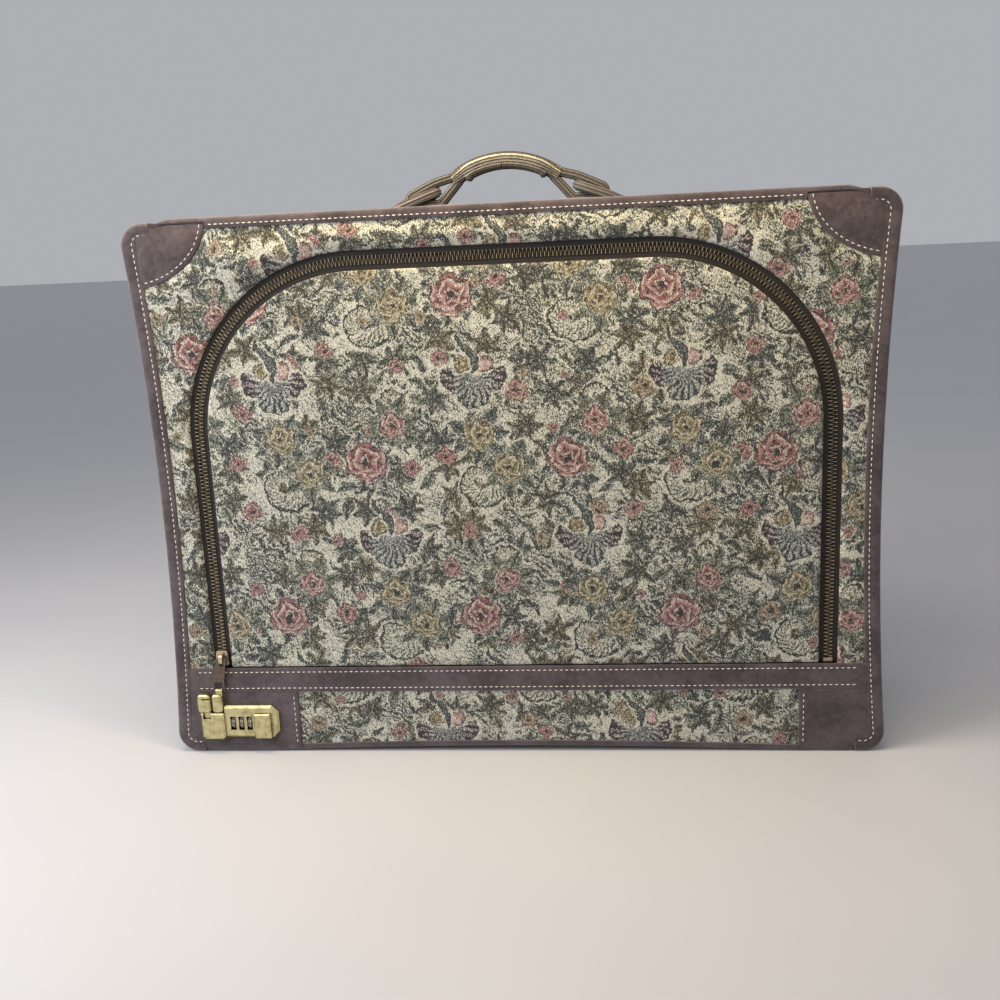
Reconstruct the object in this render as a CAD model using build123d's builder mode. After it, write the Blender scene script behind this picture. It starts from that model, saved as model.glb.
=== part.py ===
from build123d import *
import math
import os

# Suitcase: soft-sided case with a horseshoe zip lid in its front, suede trim, a brass
# combination lock and a link-ended handle. Millimetres. X runs along the width, the front
# faces -Y, Z is up, and the case stands on its bottom panel at Z = 0.

# Case body
corner_width = 622.0
waist_draw_in = 10.0
body_depth = 190.0
cover_top = 462.0
corner_radius = 16.0
bottom_arch = 5.0
foot_length = 66.0

# Layers of the case, from the outside in
cover_thickness = 1.5
board_thickness = 4.0
face_thickness = 4.0
stiffener_thickness = 3.0
lining_thickness = 0.8

# Suede trim
top_pad_proud = 4.0
top_edge_land = 1.0
top_end_land = 0.5
trim_lip = 1.5
top_flap_height = 9.0
bottom_flap_height = 5.0
pad_thickness = 1.2
panel_end_margin = 27.0
binding_start_gap = 1.5
binding_width = 12.0
binding_wrap = 14.0
binding_thickness = 1.5
binding_proud = 1.8
corner_pad_length = 72.0
corner_pad_height = 56.0
lock_pad_margin = 18.5
right_pad_length = 73.0
band_bottom = 56.5
band_height = 22.8

# Zip fastener
zip_side_margin = 39.0
zip_top_margin = 35.5
zip_corner_radius = 142.0
zip_reveal = 8.0
opening_edge_radius = 2.0
board_window_margin = 1.0
board_window_drop = 3.0
zip_tape_width = 14.0
zip_tape_thickness = 0.8
tooth_pitch = 3.2
tooth_tip = 1.4
tooth_root = 1.8
rail_edge = 4.2
tooth_height = 4.0
body_chain_rise = 9.7
lid_chain_rise = 19.7
right_chain_rise = 4.3
stub_gap = 0.5
stub_side_gap = 0.3
stop_gap = 0.4
stop_corner = 1.0

# Lid
hinge_gap = 0.4
lid_proud = 1.0
lid_edge_radius = 3.0
lid_board_thickness = 2.0
lid_board_margin = 0.5
lid_board_rise = 4.0

# Zip slider and puller
slider_rise = 2.7
slider_length = 13.5
slider_half_width = 5.8
slider_side_angle = 86.0
slider_corner = 2.0
slider_plate = 2.3
slider_back_plate = 1.4
slider_channel_half = 4.6
chain_clearance = 0.5
tape_clearance = 0.4
slider_post_half = 1.2
slider_post_length = 4.0
slider_post_corner = 1.1
bridge_half_width = 1.6
bridge_length = 10.0
bridge_thickness = 1.1
bridge_bevel = 1.0
puller_pivot_rise = 7.0
puller_pivot_out = 3.6
puller_bar_radius = 0.8
pivot_clearance = 0.35
puller_thickness = 1.4
puller_width = 11.0
puller_top_width = 9.0
puller_lean = 4.5
puller_hole = 7.4
puller_shoulder = 1.0
puller_window_drop = 1.6
puller_end_bar = 1.4

# Combination lock
lock_drop = 41.5
plate_width = 49.0
plate_height = 30.0
plate_thickness = 4.2
plate_corner = 6.0
plate_bevel = 2.0
latch_width = 21.0
latch_drop = 0.6
latch_height = 24.7
latch_thickness = 7.0
latch_notch_width = 7.2
latch_notch_depth = 5.0
latch_notch_left = 2.2
edge_break = 1.2
dial_count = 3
dial_inset = 7.4
dial_pitch = 7.5
dial_axis_rise = 13.8
dial_radius = 6.0
dial_width = 4.8
dial_flat_count = 10
dial_proud = 0.5
dial_side_clearance = 0.2
window_half_height = 6.3
shaft_radius = 1.0
shaft_clearance = 0.05
chamber_wall = 1.2
chamber_end_gap = 1.1
chamber_half_height = 6.6
backing_thickness = 1.0
backing_left_inset = 3.0
backing_right_inset = 4.0
backing_end_inset = 1.0
button_inset = 4.4
button_width = 14.9
button_drop = 0.4
button_height = 23.4
button_thickness = 3.5
button_travel = 3.0
pocket_depth = 1.5
pocket_clearance = 0.2
stem_width = 3.0
stem_height = 5.0
stem_length = 1.8
screw_radius = 1.4
screw_head_radius = 2.8
screw_head_thickness = 1.6
screw_depth = 2.0
latch_screw_drop = 5.0
plate_screw_inset = 4.7
low_screw_rise = 6.0
high_screw_drop = 8.0

# Clasp on the end of the puller
clasp_offset = 8.7
clasp_width = 22.6
clasp_height = 17.2
clasp_side_gap = 0.4
clasp_end_gap = 0.3
clasp_back_gap = 0.4
clasp_thickness = 6.4
clasp_groove = 1.2
clasp_web = 2.0
web_overlap = 2.0
clasp_slot_drop = 4.5
clasp_slot_length = 7.5
clasp_slot_height = 1.2
clasp_slot_depth = 1.5
left_lobe_width = 11.9
lobe_radius = 3.5
knuckle_half_width = 3.0
knuckle_lift = 0.9
knuckle_wall = 0.8
knuckle_clearance = 0.25
tongue_clearance = 0.6
tongue_thickness = 3.0
tongue_length = 4.8

# Handle
grip_rise = 45.0
grip_thickness = 11.5
grip_width = 22.0
grip_radius = 83.5
grip_half_span = 46.0
grip_shoulder_x = 28.0
grip_edge = 3.0
underside_thickness = 2.0
underside_width = 15.0
underside_half_span = 36.0
eye_width = 10.0
eye_strap = 4.0
eye_fork_x = 42.0
eye_fork_rise = 24.0
eye_fork_radius = 4.5
eye_end_x = 80.5
eye_end_radius = 6.8
eye_foot_x = 57.0
eye_foot_radius = 3.0
eye_lift = 2.6
eye_hole_radius = 1.0
eye_hole_inset = 2.0
anchor_width = 22.0
anchor_thickness = 4.0
link_clearance = 0.3
anchor_tail_x = 112.0
anchor_bend_x = 92.0
anchor_inner_x = 58.0
anchor_rise = 12.6
anchor_tip_lean = 1.5
anchor_bend_lean = 1.0
anchor_hole_outer_x = 90.0
anchor_hole_inner_x = 63.0
anchor_hole_corner = 3.0
anchor_corner = 7.0

# Derived places
latch_proud = pad_thickness + latch_thickness
front_y = -(body_depth + binding_proud - latch_proud) / 2
back_y = front_y + body_depth
mid_y = front_y + body_depth / 2
base_z = trim_lip
waist_z = (base_z + cover_top) / 2
case_top = cover_top + top_pad_proud
half_corner = corner_width / 2
half_waist = half_corner - waist_draw_in
bottom_flat_x = half_corner - foot_length
panel_end_x = half_corner - panel_end_margin
inner_inset = cover_thickness + board_thickness
face_back_y = front_y + face_thickness
board_back_y = face_back_y + stiffener_thickness
back_face_y = back_y - face_thickness
back_board_y = back_face_y - stiffener_thickness
pad_front_y = front_y - pad_thickness
binding_end_x = panel_end_x + binding_start_gap
far = 2 * corner_width

# Derived places on the front: the lock follows the left leg of the zip
band_top = band_bottom + band_height
hinge_z = band_top
lid_bottom = hinge_z + hinge_gap
zip_half_width = half_waist - zip_side_margin
zip_top = cover_top - zip_top_margin
arc_center_x = zip_half_width - zip_corner_radius
arc_center_z = zip_top - zip_corner_radius
body_chain_start = hinge_z + body_chain_rise
lid_chain_start = hinge_z + lid_chain_rise
right_chain_start = hinge_z + right_chain_rise
slider_bottom = hinge_z + slider_rise
puller_pivot_z = slider_bottom + puller_pivot_rise
puller_x = -zip_half_width
puller_end_x = puller_x - puller_lean
clasp_left = puller_end_x - clasp_offset - clasp_width / 2
clasp_right = clasp_left + clasp_width
plate_left = clasp_right + clasp_side_gap
plate_right = plate_left + plate_width
plate_bottom = band_bottom - lock_drop
plate_top = plate_bottom + plate_height
latch_left = plate_left - latch_width
latch_bottom = plate_bottom - latch_drop
latch_top = latch_bottom + latch_height
clasp_bottom = latch_top + clasp_end_gap
clasp_top = clasp_bottom + clasp_height
dial_first_x = plate_left + dial_inset
dial_last_x = dial_first_x + (dial_count - 1) * dial_pitch
dial_axis_y = pad_front_y - plate_thickness - dial_proud + dial_radius
dial_axis_z = plate_bottom + dial_axis_rise
button_left = dial_last_x + button_inset
button_bottom = plate_bottom - button_drop
button_top = button_bottom + button_height
lock_pad_inner_x = plate_right + lock_pad_margin
right_pad_inner_x = half_corner - right_pad_length


def at_y(y):
    """Sketch plane facing the front, at a depth y: its axes are X and Z."""
    return Plane.XZ.offset(-y)


def finish(part, name):
    """Labels a finished piece and writes it."""
    part.label = name
    export_step(part, f"parts/{name}.step")


# Profiles that several pieces share, drawn in X and Z
def case_outline(inset=0.0):
    """Front view of the covered case, every edge moved in by inset."""
    with BuildSketch() as outline:
        with BuildLine():
            ThreePointArc((-bottom_flat_x, base_z), (0, base_z + bottom_arch), (bottom_flat_x, base_z))
            Line((bottom_flat_x, base_z), (half_corner, base_z))
            ThreePointArc((half_corner, base_z), (half_waist, waist_z), (half_corner, cover_top))
            Line((half_corner, cover_top), (-half_corner, cover_top))
            ThreePointArc((-half_corner, cover_top), (-half_waist, waist_z), (-half_corner, base_z))
            Line((-half_corner, base_z), (-bottom_flat_x, base_z))
        make_face()
        corners = outline.vertices().filter_by(lambda v: abs(v.X) > panel_end_x)
        fillet(corners, corner_radius)
        if inset:
            offset(amount=-inset, mode=Mode.REPLACE)
    return outline.sketch


def block(x0, x1, z0, z1):
    """Rectangle between two corners."""
    with BuildSketch() as rectangle:
        with Locations(((x0 + x1) / 2, (z0 + z1) / 2)):
            Rectangle(x1 - x0, z1 - z0)
    return rectangle.sketch


def zip_region(grow, bottom):
    """Inside of the horseshoe zip line, grown outward by grow and cut flat at bottom."""
    half = zip_half_width + grow
    radius = zip_corner_radius + grow
    top = zip_top + grow
    with BuildSketch() as region:
        with BuildLine():
            Line((-half, bottom), (half, bottom))
            Line((half, bottom), (half, arc_center_z))
            CenterArc((arc_center_x, arc_center_z), radius, 0, 90)
            Line((arc_center_x, top), (-arc_center_x, top))
            CenterArc((-arc_center_x, arc_center_z), radius, 90, 90)
            Line((-half, arc_center_z), (-half, bottom))
        make_face()
    return region.sketch


def binding_ring(outer, inner, side):
    """Strip that follows the case outline on one side and ends short of the top and bottom panels."""
    with BuildSketch() as ring:
        add(case_outline(-outer))
        add(case_outline(inner), mode=Mode.SUBTRACT)
        x0, x1 = sorted((side * binding_end_x, side * far))
        add(block(x0, x1, -far, far), mode=Mode.INTERSECT)
    return ring.sketch


def trim_patch(patch):
    """Suede patch on the face: the given region, kept to the case and butted to the bindings."""
    with BuildSketch() as trimmed:
        add(case_outline())
        add(patch, mode=Mode.INTERSECT)
        for side in (-1, 1):
            add(binding_ring(binding_thickness, binding_width, side), mode=Mode.SUBTRACT)
    return trimmed.sketch


def corner_ellipse(side, z):
    """Quarter-round corner patch, centred on a corner of the face."""
    with BuildSketch() as ellipse:
        with Locations((side * half_corner, z)):
            Ellipse(corner_pad_length, corner_pad_height)
    return ellipse.sketch


def slab(profile, y_front, y_back):
    """Plate of a profile between two depths."""
    with BuildPart() as plate:
        with BuildSketch(at_y(y_back)):
            add(profile)
        extrude(amount=y_back - y_front)
    return plate.part


os.makedirs("parts", exist_ok=True)

# Frame hoop: one bent fibreboard band that holds the case's shape
with BuildPart() as frame_hoop:
    with BuildSketch(at_y(back_face_y)):
        add(case_outline(cover_thickness))
        add(case_outline(inner_inset), mode=Mode.SUBTRACT)
    extrude(amount=back_face_y - face_back_y)
finish(frame_hoop.part, "frame_hoop")

# Side covers: tapestry glued round the hoop's two sides and corners
for side, side_name in ((-1, "left"), (1, "right")):
    with BuildPart() as side_cover:
        with BuildSketch(at_y(back_face_y)):
            add(case_outline())
            add(case_outline(cover_thickness), mode=Mode.SUBTRACT)
            add(block(-panel_end_x, panel_end_x, -far, far), mode=Mode.SUBTRACT)
            add(block(min(0, side * far), max(0, side * far), -far, far), mode=Mode.INTERSECT)
        extrude(amount=back_face_y - face_back_y)
    finish(side_cover.part, f"{side_name}_side_cover")

# Top panel: padded suede strip with a flap folded down over the front and the back
lip_front = front_y - trim_lip
lip_back = back_y + trim_lip
hoop_top = cover_top - cover_thickness
with BuildPart() as top_panel:
    with BuildSketch(Plane.YZ):
        Polygon(
            (lip_front, cover_top),
            (face_back_y, cover_top),
            (face_back_y, hoop_top),
            (back_face_y, hoop_top),
            (back_face_y, cover_top),
            (lip_back, cover_top),
            (lip_back, case_top),
            (lip_front, case_top),
            align=None,
        )
    extrude(amount=panel_end_x, both=True)
    ends = top_panel.edges().filter_by(Axis.Y).group_by(Axis.Z)[-1]
    chamfer(ends, top_pad_proud - top_end_land)
    long_edges = top_panel.edges().filter_by(Axis.X).group_by(Axis.Z)[-1]
    fillet(long_edges, top_pad_proud - top_edge_land)
    for flap_y in (lip_front, back_y):
        with BuildSketch(at_y(flap_y + trim_lip)):
            flap_end = half_corner - corner_pad_length
            add(block(-flap_end, flap_end, case_top - top_flap_height, cover_top))
        extrude(amount=trim_lip)
finish(top_panel.part, "top_panel")

# Bottom panel: suede skin under the case, arched between the flats that it stands on
with BuildPart() as bottom_panel:
    with BuildSketch(at_y(lip_back)):
        add(case_outline(-trim_lip))
        add(case_outline(), mode=Mode.SUBTRACT)
        add(block(-panel_end_x, panel_end_x, -far, waist_z), mode=Mode.INTERSECT)
    extrude(amount=lip_back - lip_front)
    with BuildSketch(at_y(back_face_y)):
        add(case_outline())
        add(case_outline(cover_thickness), mode=Mode.SUBTRACT)
        add(block(-panel_end_x, panel_end_x, -far, waist_z), mode=Mode.INTERSECT)
    extrude(amount=back_face_y - face_back_y)
    front_flap = (lip_front, lock_pad_inner_x, right_pad_inner_x)
    back_flap = (back_y, corner_pad_length - half_corner, half_corner - corner_pad_length)
    for flap_y, x0, x1 in (front_flap, back_flap):
        with BuildSketch(at_y(flap_y + trim_lip)):
            add(case_outline())
            add(case_outline(bottom_flap_height - trim_lip), mode=Mode.SUBTRACT)
            add(block(x0, x1, -far, waist_z), mode=Mode.INTERSECT)
        extrude(amount=trim_lip)
finish(bottom_panel.part, "bottom_panel")

# Lock chamber and screws, which pass through the front's panels
chamber_left = dial_first_x - dial_width / 2 - chamber_end_gap
chamber_right = dial_last_x + dial_width / 2 + chamber_end_gap
chamber_z0 = dial_axis_z - chamber_half_height
chamber_z1 = dial_axis_z + chamber_half_height
plate_screw_x = button_left + plate_screw_inset
screw_places = [
    (plate_left - latch_width / 2, dial_axis_z - latch_screw_drop),
    (plate_screw_x, plate_bottom + low_screw_rise),
    (plate_screw_x, plate_top - high_screw_drop),
]


def lock_cutout():
    """Openings in a panel for the lock's body and its screws."""
    with BuildSketch() as cutout:
        gap = chamber_wall + pocket_clearance
        add(block(chamber_left - gap, chamber_right + gap, chamber_z0 - gap, chamber_z1 + gap))
        with Locations(*screw_places):
            Circle(screw_radius + shaft_clearance)
    return cutout.sketch


# Front border: padded tapestry round the lid opening
with BuildPart() as front_border:
    with BuildSketch(at_y(face_back_y)):
        add(case_outline())
        add(block(-far, far, -far, hinge_z), mode=Mode.SUBTRACT)
        add(zip_region(zip_reveal, hinge_z), mode=Mode.SUBTRACT)
    extrude(amount=face_thickness)
    front_edges = front_border.faces().sort_by(Axis.Y)[0].edges()
    reach = zip_reveal + 1
    rim = front_edges.filter_by(lambda e: abs(e.center().X) < zip_half_width + reach)
    rim = rim.filter_by(lambda e: hinge_z + 1 < e.center().Z < zip_top + reach)
    fillet(rim, opening_edge_radius)
finish(front_border.part, "front_border")

# Lower front: tapestry below the lid's hinge line
with BuildPart() as lower_front:
    with BuildSketch(at_y(face_back_y)):
        add(case_outline())
        add(block(-far, far, -far, hinge_z), mode=Mode.INTERSECT)
        add(lock_cutout(), mode=Mode.SUBTRACT)
    extrude(amount=face_thickness)
finish(lower_front.part, "lower_front_panel")

# Front board: fibreboard behind the border and the lower front
board_window = zip_tape_width + board_window_margin
with BuildPart() as front_board:
    with BuildSketch(at_y(board_back_y)):
        add(case_outline(inner_inset))
        add(zip_region(board_window, hinge_z - board_window_drop), mode=Mode.SUBTRACT)
        add(lock_cutout(), mode=Mode.SUBTRACT)
    extrude(amount=stiffener_thickness)
finish(front_board.part, "front_board")

# Suede patches on the front
hinge_band = slab(trim_patch(block(-far, far, band_bottom, band_top)), pad_front_y, front_y)
finish(hinge_band, "hinge_band")
for side, side_name in ((-1, "left"), (1, "right")):
    corner_pad = slab(trim_patch(corner_ellipse(side, case_top)), pad_front_y, front_y)
    finish(corner_pad, f"front_top_{side_name}_pad")

with BuildPart() as lock_pad:
    with BuildSketch(at_y(front_y)):
        add(trim_patch(block(-far, lock_pad_inner_x, -far, band_bottom)))
        add(lock_cutout(), mode=Mode.SUBTRACT)
    extrude(amount=pad_thickness)
finish(lock_pad.part, "front_bottom_left_pad")
right_pad = slab(trim_patch(block(right_pad_inner_x, far, -far, band_bottom)), pad_front_y, front_y)
finish(right_pad, "front_bottom_right_pad")

# Back: tapestry panel on a board, with the same suede corners
finish(slab(case_outline(), back_face_y, back_y), "back_panel")
finish(slab(case_outline(inner_inset), back_board_y, back_face_y), "back_board")
for side, side_name in ((-1, "left"), (1, "right")):
    for z, level in ((case_top, "top"), (0, "bottom")):
        back_pad = slab(trim_patch(corner_ellipse(side, z)), back_y, back_y + pad_thickness)
        finish(back_pad, f"back_{level}_{side_name}_pad")

# Bindings: suede strips folded over the edges of both faces, round all four corners
for face_name, face_y, out in (("front", front_y, -1), ("back", back_y, 1)):
    for side, side_name in ((-1, "left"), (1, "right")):
        with BuildPart() as binding:
            proud_y = face_y + out * binding_proud
            wrap_y = face_y - out * binding_wrap
            with BuildSketch(at_y(max(face_y, proud_y))):
                add(binding_ring(binding_thickness, binding_width, side))
            extrude(amount=binding_proud)
            with BuildSketch(at_y(max(face_y, wrap_y))):
                add(binding_ring(binding_thickness, 0, side))
            extrude(amount=binding_wrap)
        finish(binding.part, f"{face_name}_{side_name}_binding")

# Lining: cloth inside the hoop and over the back board
with BuildPart() as lining:
    with BuildSketch(at_y(back_board_y)):
        add(case_outline(inner_inset))
    extrude(amount=back_board_y - board_back_y)
    with BuildSketch(at_y(back_board_y - lining_thickness)):
        add(case_outline(inner_inset + lining_thickness))
    extrude(amount=back_board_y - lining_thickness - board_back_y, mode=Mode.SUBTRACT)
finish(lining.part, "lining")

# Zip tapes: each is sewn behind its fabric edge, and its other edge carries the teeth
tape_back_y = face_back_y + zip_tape_thickness
stub_top = lid_chain_start - stub_gap
stub_inner_x = zip_half_width - zip_reveal + stub_side_gap
stub_outer_x = zip_half_width - rail_edge
with BuildPart() as zip_tape_body:
    with BuildSketch(at_y(tape_back_y)):
        add(zip_region(zip_tape_width, lid_bottom))
        add(zip_region(rail_edge, lid_bottom), mode=Mode.SUBTRACT)
    extrude(amount=zip_tape_thickness)
    with BuildSketch(at_y(tape_back_y)):
        for side in (-1, 1):
            x0, x1 = sorted((side * stub_inner_x, side * stub_outer_x))
            add(block(x0, x1, lid_bottom, stub_top))
    extrude(amount=zip_tape_thickness)
finish(zip_tape_body.part, "zip_tape_body")

with BuildPart() as zip_tape_lid:
    with BuildSketch(at_y(tape_back_y)):
        add(zip_region(-rail_edge, lid_chain_start))
        add(zip_region(-zip_tape_width, hinge_z), mode=Mode.SUBTRACT)
    extrude(amount=zip_tape_thickness)
finish(zip_tape_lid.part, "zip_tape_lid")

# Zip teeth: two combs whose teeth mesh along the zip line
leg_length = arc_center_z - hinge_z
arc_length = math.pi / 2 * zip_corner_radius
top_length = 2 * arc_center_x
zip_length = 2 * leg_length + 2 * arc_length + top_length


def zip_point(run, out):
    """Point at a distance along the zip line from the left end of the hinge, out to its outer side."""
    if run > zip_length / 2:
        x, z = zip_point(zip_length - run, out)
        return (-x, z)
    if run < leg_length:
        return (-zip_half_width - out, hinge_z + run)
    if run < leg_length + arc_length:
        angle = math.pi - (run - leg_length) / zip_corner_radius
        radius = zip_corner_radius + out
        return (-arc_center_x + radius * math.cos(angle), arc_center_z + radius * math.sin(angle))
    return (-arc_center_x + run - leg_length - arc_length, zip_top + out)


def zigzag(side, start, end):
    """Tooth line from start to end along the zip: side 1 is the body's comb, -1 the lid's."""
    points = []
    first = math.ceil(start / tooth_pitch)
    for step in range(2 * first, 2 * int(end / tooth_pitch) + 1):
        at_tip = step % 2 == (0 if side > 0 else 1)
        out = -side * tooth_tip if at_tip else side * tooth_root
        points.append(zip_point(step * tooth_pitch / 2, out))
    return points


def comb(side, start_left, start_right):
    """One row of teeth round the whole horseshoe, with the rail that clamps the tape's edge."""
    teeth = zigzag(side, start_left - hinge_z, zip_length - (start_right - hinge_z))
    out = side * rail_edge
    radius = zip_corner_radius + out
    x_edge = zip_half_width + out
    with BuildSketch() as row:
        with BuildLine():
            Polyline(*teeth)
            Line(teeth[-1], (x_edge, teeth[-1][1]))
            Line((x_edge, teeth[-1][1]), (x_edge, arc_center_z))
            CenterArc((arc_center_x, arc_center_z), radius, 0, 90)
            Line((arc_center_x, zip_top + out), (-arc_center_x, zip_top + out))
            CenterArc((-arc_center_x, arc_center_z), radius, 90, 90)
            Line((-x_edge, arc_center_z), (-x_edge, teeth[0][1]))
            Line((-x_edge, teeth[0][1]), teeth[0])
        make_face()
    return row.sketch


tooth_front_y = face_back_y + zip_tape_thickness / 2 - tooth_height / 2
tooth_back_y = tooth_front_y + tooth_height
with BuildPart() as zip_teeth_body:
    with BuildSketch(at_y(tooth_back_y)):
        add(comb(1, body_chain_start, right_chain_start))
    extrude(amount=tooth_height)
    with BuildSketch(at_y(tooth_back_y)):
        stub = zigzag(-1, zip_length - (stub_top - hinge_z), zip_length - (right_chain_start - hinge_z))
        with BuildLine():
            Polyline(*stub)
            Line(stub[-1], (stub_outer_x, stub[-1][1]))
            Line((stub_outer_x, stub[-1][1]), (stub_outer_x, stub[0][1]))
            Line((stub_outer_x, stub[0][1]), stub[0])
        make_face()
    extrude(amount=tooth_height)
finish(zip_teeth_body.part, "zip_teeth_body")
finish(slab(comb(-1, lid_chain_start, lid_chain_start), tooth_front_y, tooth_back_y), "zip_teeth_lid")

# Zip stops: one box joins both rows on the right, and two clips end the rows under the slider
with BuildPart() as bottom_stop:
    with BuildSketch(at_y(tooth_back_y)):
        stop_top = right_chain_start - stop_gap
        add(block(zip_half_width - rail_edge, zip_half_width + rail_edge, lid_bottom, stop_top))
    extrude(amount=tooth_height)
    fillet(bottom_stop.edges().filter_by(Axis.Z), stop_corner)
finish(bottom_stop.part, "zip_bottom_stop")
with BuildPart() as top_stops:
    with BuildSketch(at_y(tooth_back_y)):
        for side in (-1, 1):
            center = -zip_half_width + side * (tooth_root + rail_edge) / 2
            half = (rail_edge - tooth_root) / 2
            add(block(center - half, center + half, lid_bottom, slider_bottom - stop_gap))
    extrude(amount=tooth_height)
finish(top_stops.part, "zip_top_stops")

# Lid: padded tapestry horseshoe on a stiff board, hinged at the band
with BuildPart() as lid_panel:
    with BuildSketch(at_y(face_back_y)):
        add(zip_region(-zip_reveal, lid_bottom))
    extrude(amount=face_thickness + lid_proud)
    lid_edges = lid_panel.faces().sort_by(Axis.Y)[0].edges()
    fillet(lid_edges.filter_by(lambda e: e.center().Z > lid_bottom + 1), lid_edge_radius)
finish(lid_panel.part, "lid_panel")
lid_board_inset = -(zip_tape_width + lid_board_margin)
lid_board_back_y = face_back_y + lid_board_thickness
lid_lining_back_y = lid_board_back_y + lining_thickness
lid_inside = zip_region(lid_board_inset, lid_bottom + lid_board_rise)
finish(slab(lid_inside, face_back_y, lid_board_back_y), "lid_board")
finish(slab(lid_inside, lid_board_back_y, lid_lining_back_y), "lid_lining")

# Zip slider: two plates joined by the post that parts the chain, with a bridge for the puller
slider_top = slider_bottom + slider_length
plate_in_y = tooth_front_y - chain_clearance
plate_out_y = plate_in_y - slider_plate
back_in_y = tooth_back_y + chain_clearance
back_out_y = back_in_y + slider_back_plate
slider_z = (slider_bottom + slider_top) / 2
puller_pivot_y = front_y - puller_pivot_out
with BuildPart() as slider:
    with BuildSketch(at_y(back_out_y)):
        with Locations((-zip_half_width, slider_z)):
            Trapezoid(2 * slider_half_width, slider_length, slider_side_angle)
    extrude(amount=back_out_y - plate_out_y)
    fillet(slider.edges().filter_by(Axis.Y), slider_corner)
    with BuildSketch(Plane.XY.offset(slider_bottom)):
        with Locations((-zip_half_width, (plate_in_y + back_in_y) / 2)):
            Rectangle(2 * slider_channel_half, back_in_y - plate_in_y)
            Rectangle(3 * slider_half_width, zip_tape_thickness + 2 * tape_clearance)
    extrude(amount=slider_length, mode=Mode.SUBTRACT)
    with BuildSketch(at_y(back_in_y)):
        with Locations((-zip_half_width, slider_bottom + edge_break + slider_post_length / 2)):
            RectangleRounded(2 * slider_post_half, slider_post_length, slider_post_corner)
    extrude(amount=back_in_y - plate_in_y)
    with BuildSketch(Plane.YZ.offset(-zip_half_width - bridge_half_width)):
        hole_radius = puller_bar_radius + pivot_clearance
        bridge_out_y = puller_pivot_y - hole_radius - bridge_thickness
        bridge_z0 = puller_pivot_z - bridge_length / 2
        bridge_z1 = puller_pivot_z + bridge_length / 2
        Polygon(
            (plate_out_y, bridge_z0),
            (bridge_out_y + bridge_bevel, bridge_z0 + bridge_bevel),
            (bridge_out_y, puller_pivot_z - bridge_length / 4),
            (bridge_out_y, puller_pivot_z + bridge_length / 4),
            (bridge_out_y + bridge_bevel, bridge_z1 - bridge_bevel),
            (plate_out_y, bridge_z1),
            align=None,
        )
        with Locations((puller_pivot_y, puller_pivot_z)):
            Circle(hole_radius, mode=Mode.SUBTRACT)
    extrude(amount=2 * bridge_half_width)
finish(slider.part, "zip_slider")

# Puller: flat tab that leans to the clasp, with a square hole at its lower end
end_bar_z = clasp_top + puller_end_bar / 2 + knuckle_wall + knuckle_clearance + knuckle_lift
hole_bottom = end_bar_z + puller_end_bar / 2
hole_top = hole_bottom + puller_hole
puller_bottom = end_bar_z - puller_end_bar / 2
window_half = bridge_half_width + pivot_clearance
window_bottom = bridge_z0 - puller_window_drop
hole_half = puller_hole / 2
shoulder_z = hole_top + puller_shoulder
with BuildPart() as puller:
    with BuildSketch(at_y(puller_pivot_y + puller_thickness / 2)):
        with BuildLine():
            Polyline(
                (puller_x - puller_top_width / 2, puller_pivot_z),
                (puller_end_x - puller_width / 2, shoulder_z),
                (puller_end_x - puller_width / 2, puller_bottom),
                (puller_end_x + puller_width / 2, puller_bottom),
                (puller_end_x + puller_width / 2, shoulder_z),
                (puller_x + puller_top_width / 2, puller_pivot_z),
                close=True,
            )
        make_face()
        window = block(puller_x - window_half, puller_x + window_half, window_bottom, puller_pivot_z)
        add(window, mode=Mode.SUBTRACT)
        hole = block(puller_end_x - hole_half, puller_end_x + hole_half, hole_bottom, hole_top)
        add(hole, mode=Mode.SUBTRACT)
    extrude(amount=puller_thickness)
    with BuildSketch(Plane.YZ.offset(puller_x - puller_top_width / 2)):
        with Locations((puller_pivot_y, puller_pivot_z)):
            Circle(puller_bar_radius)
    extrude(amount=puller_top_width)
finish(puller.part, "zip_puller")

# Latch block: brass block with the notch that takes the clasp's tongue
notch_left = latch_left + latch_notch_left
notch_right = notch_left + latch_notch_width
notch_back_y = pad_front_y - clasp_web + edge_break / 2
with BuildPart() as latch_block:
    with BuildSketch(at_y(pad_front_y)):
        add(block(latch_left, plate_left, latch_bottom, latch_top))
    extrude(amount=latch_thickness)
    chamfer(latch_block.edges().filter_by(Axis.Y).group_by(Axis.Z)[0], 2 * edge_break)
    chamfer(latch_block.faces().sort_by(Axis.Y)[0].edges(), edge_break)
    with BuildSketch(at_y(notch_back_y)):
        add(block(notch_left, notch_right, latch_top - latch_notch_depth, latch_top))
    extrude(amount=latch_thickness, mode=Mode.SUBTRACT)
    with BuildSketch(at_y(pad_front_y)):
        with Locations(screw_places[0]):
            Circle(screw_radius + shaft_clearance)
    extrude(amount=screw_depth, mode=Mode.SUBTRACT)
finish(latch_block.part, "latch_block")

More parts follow.
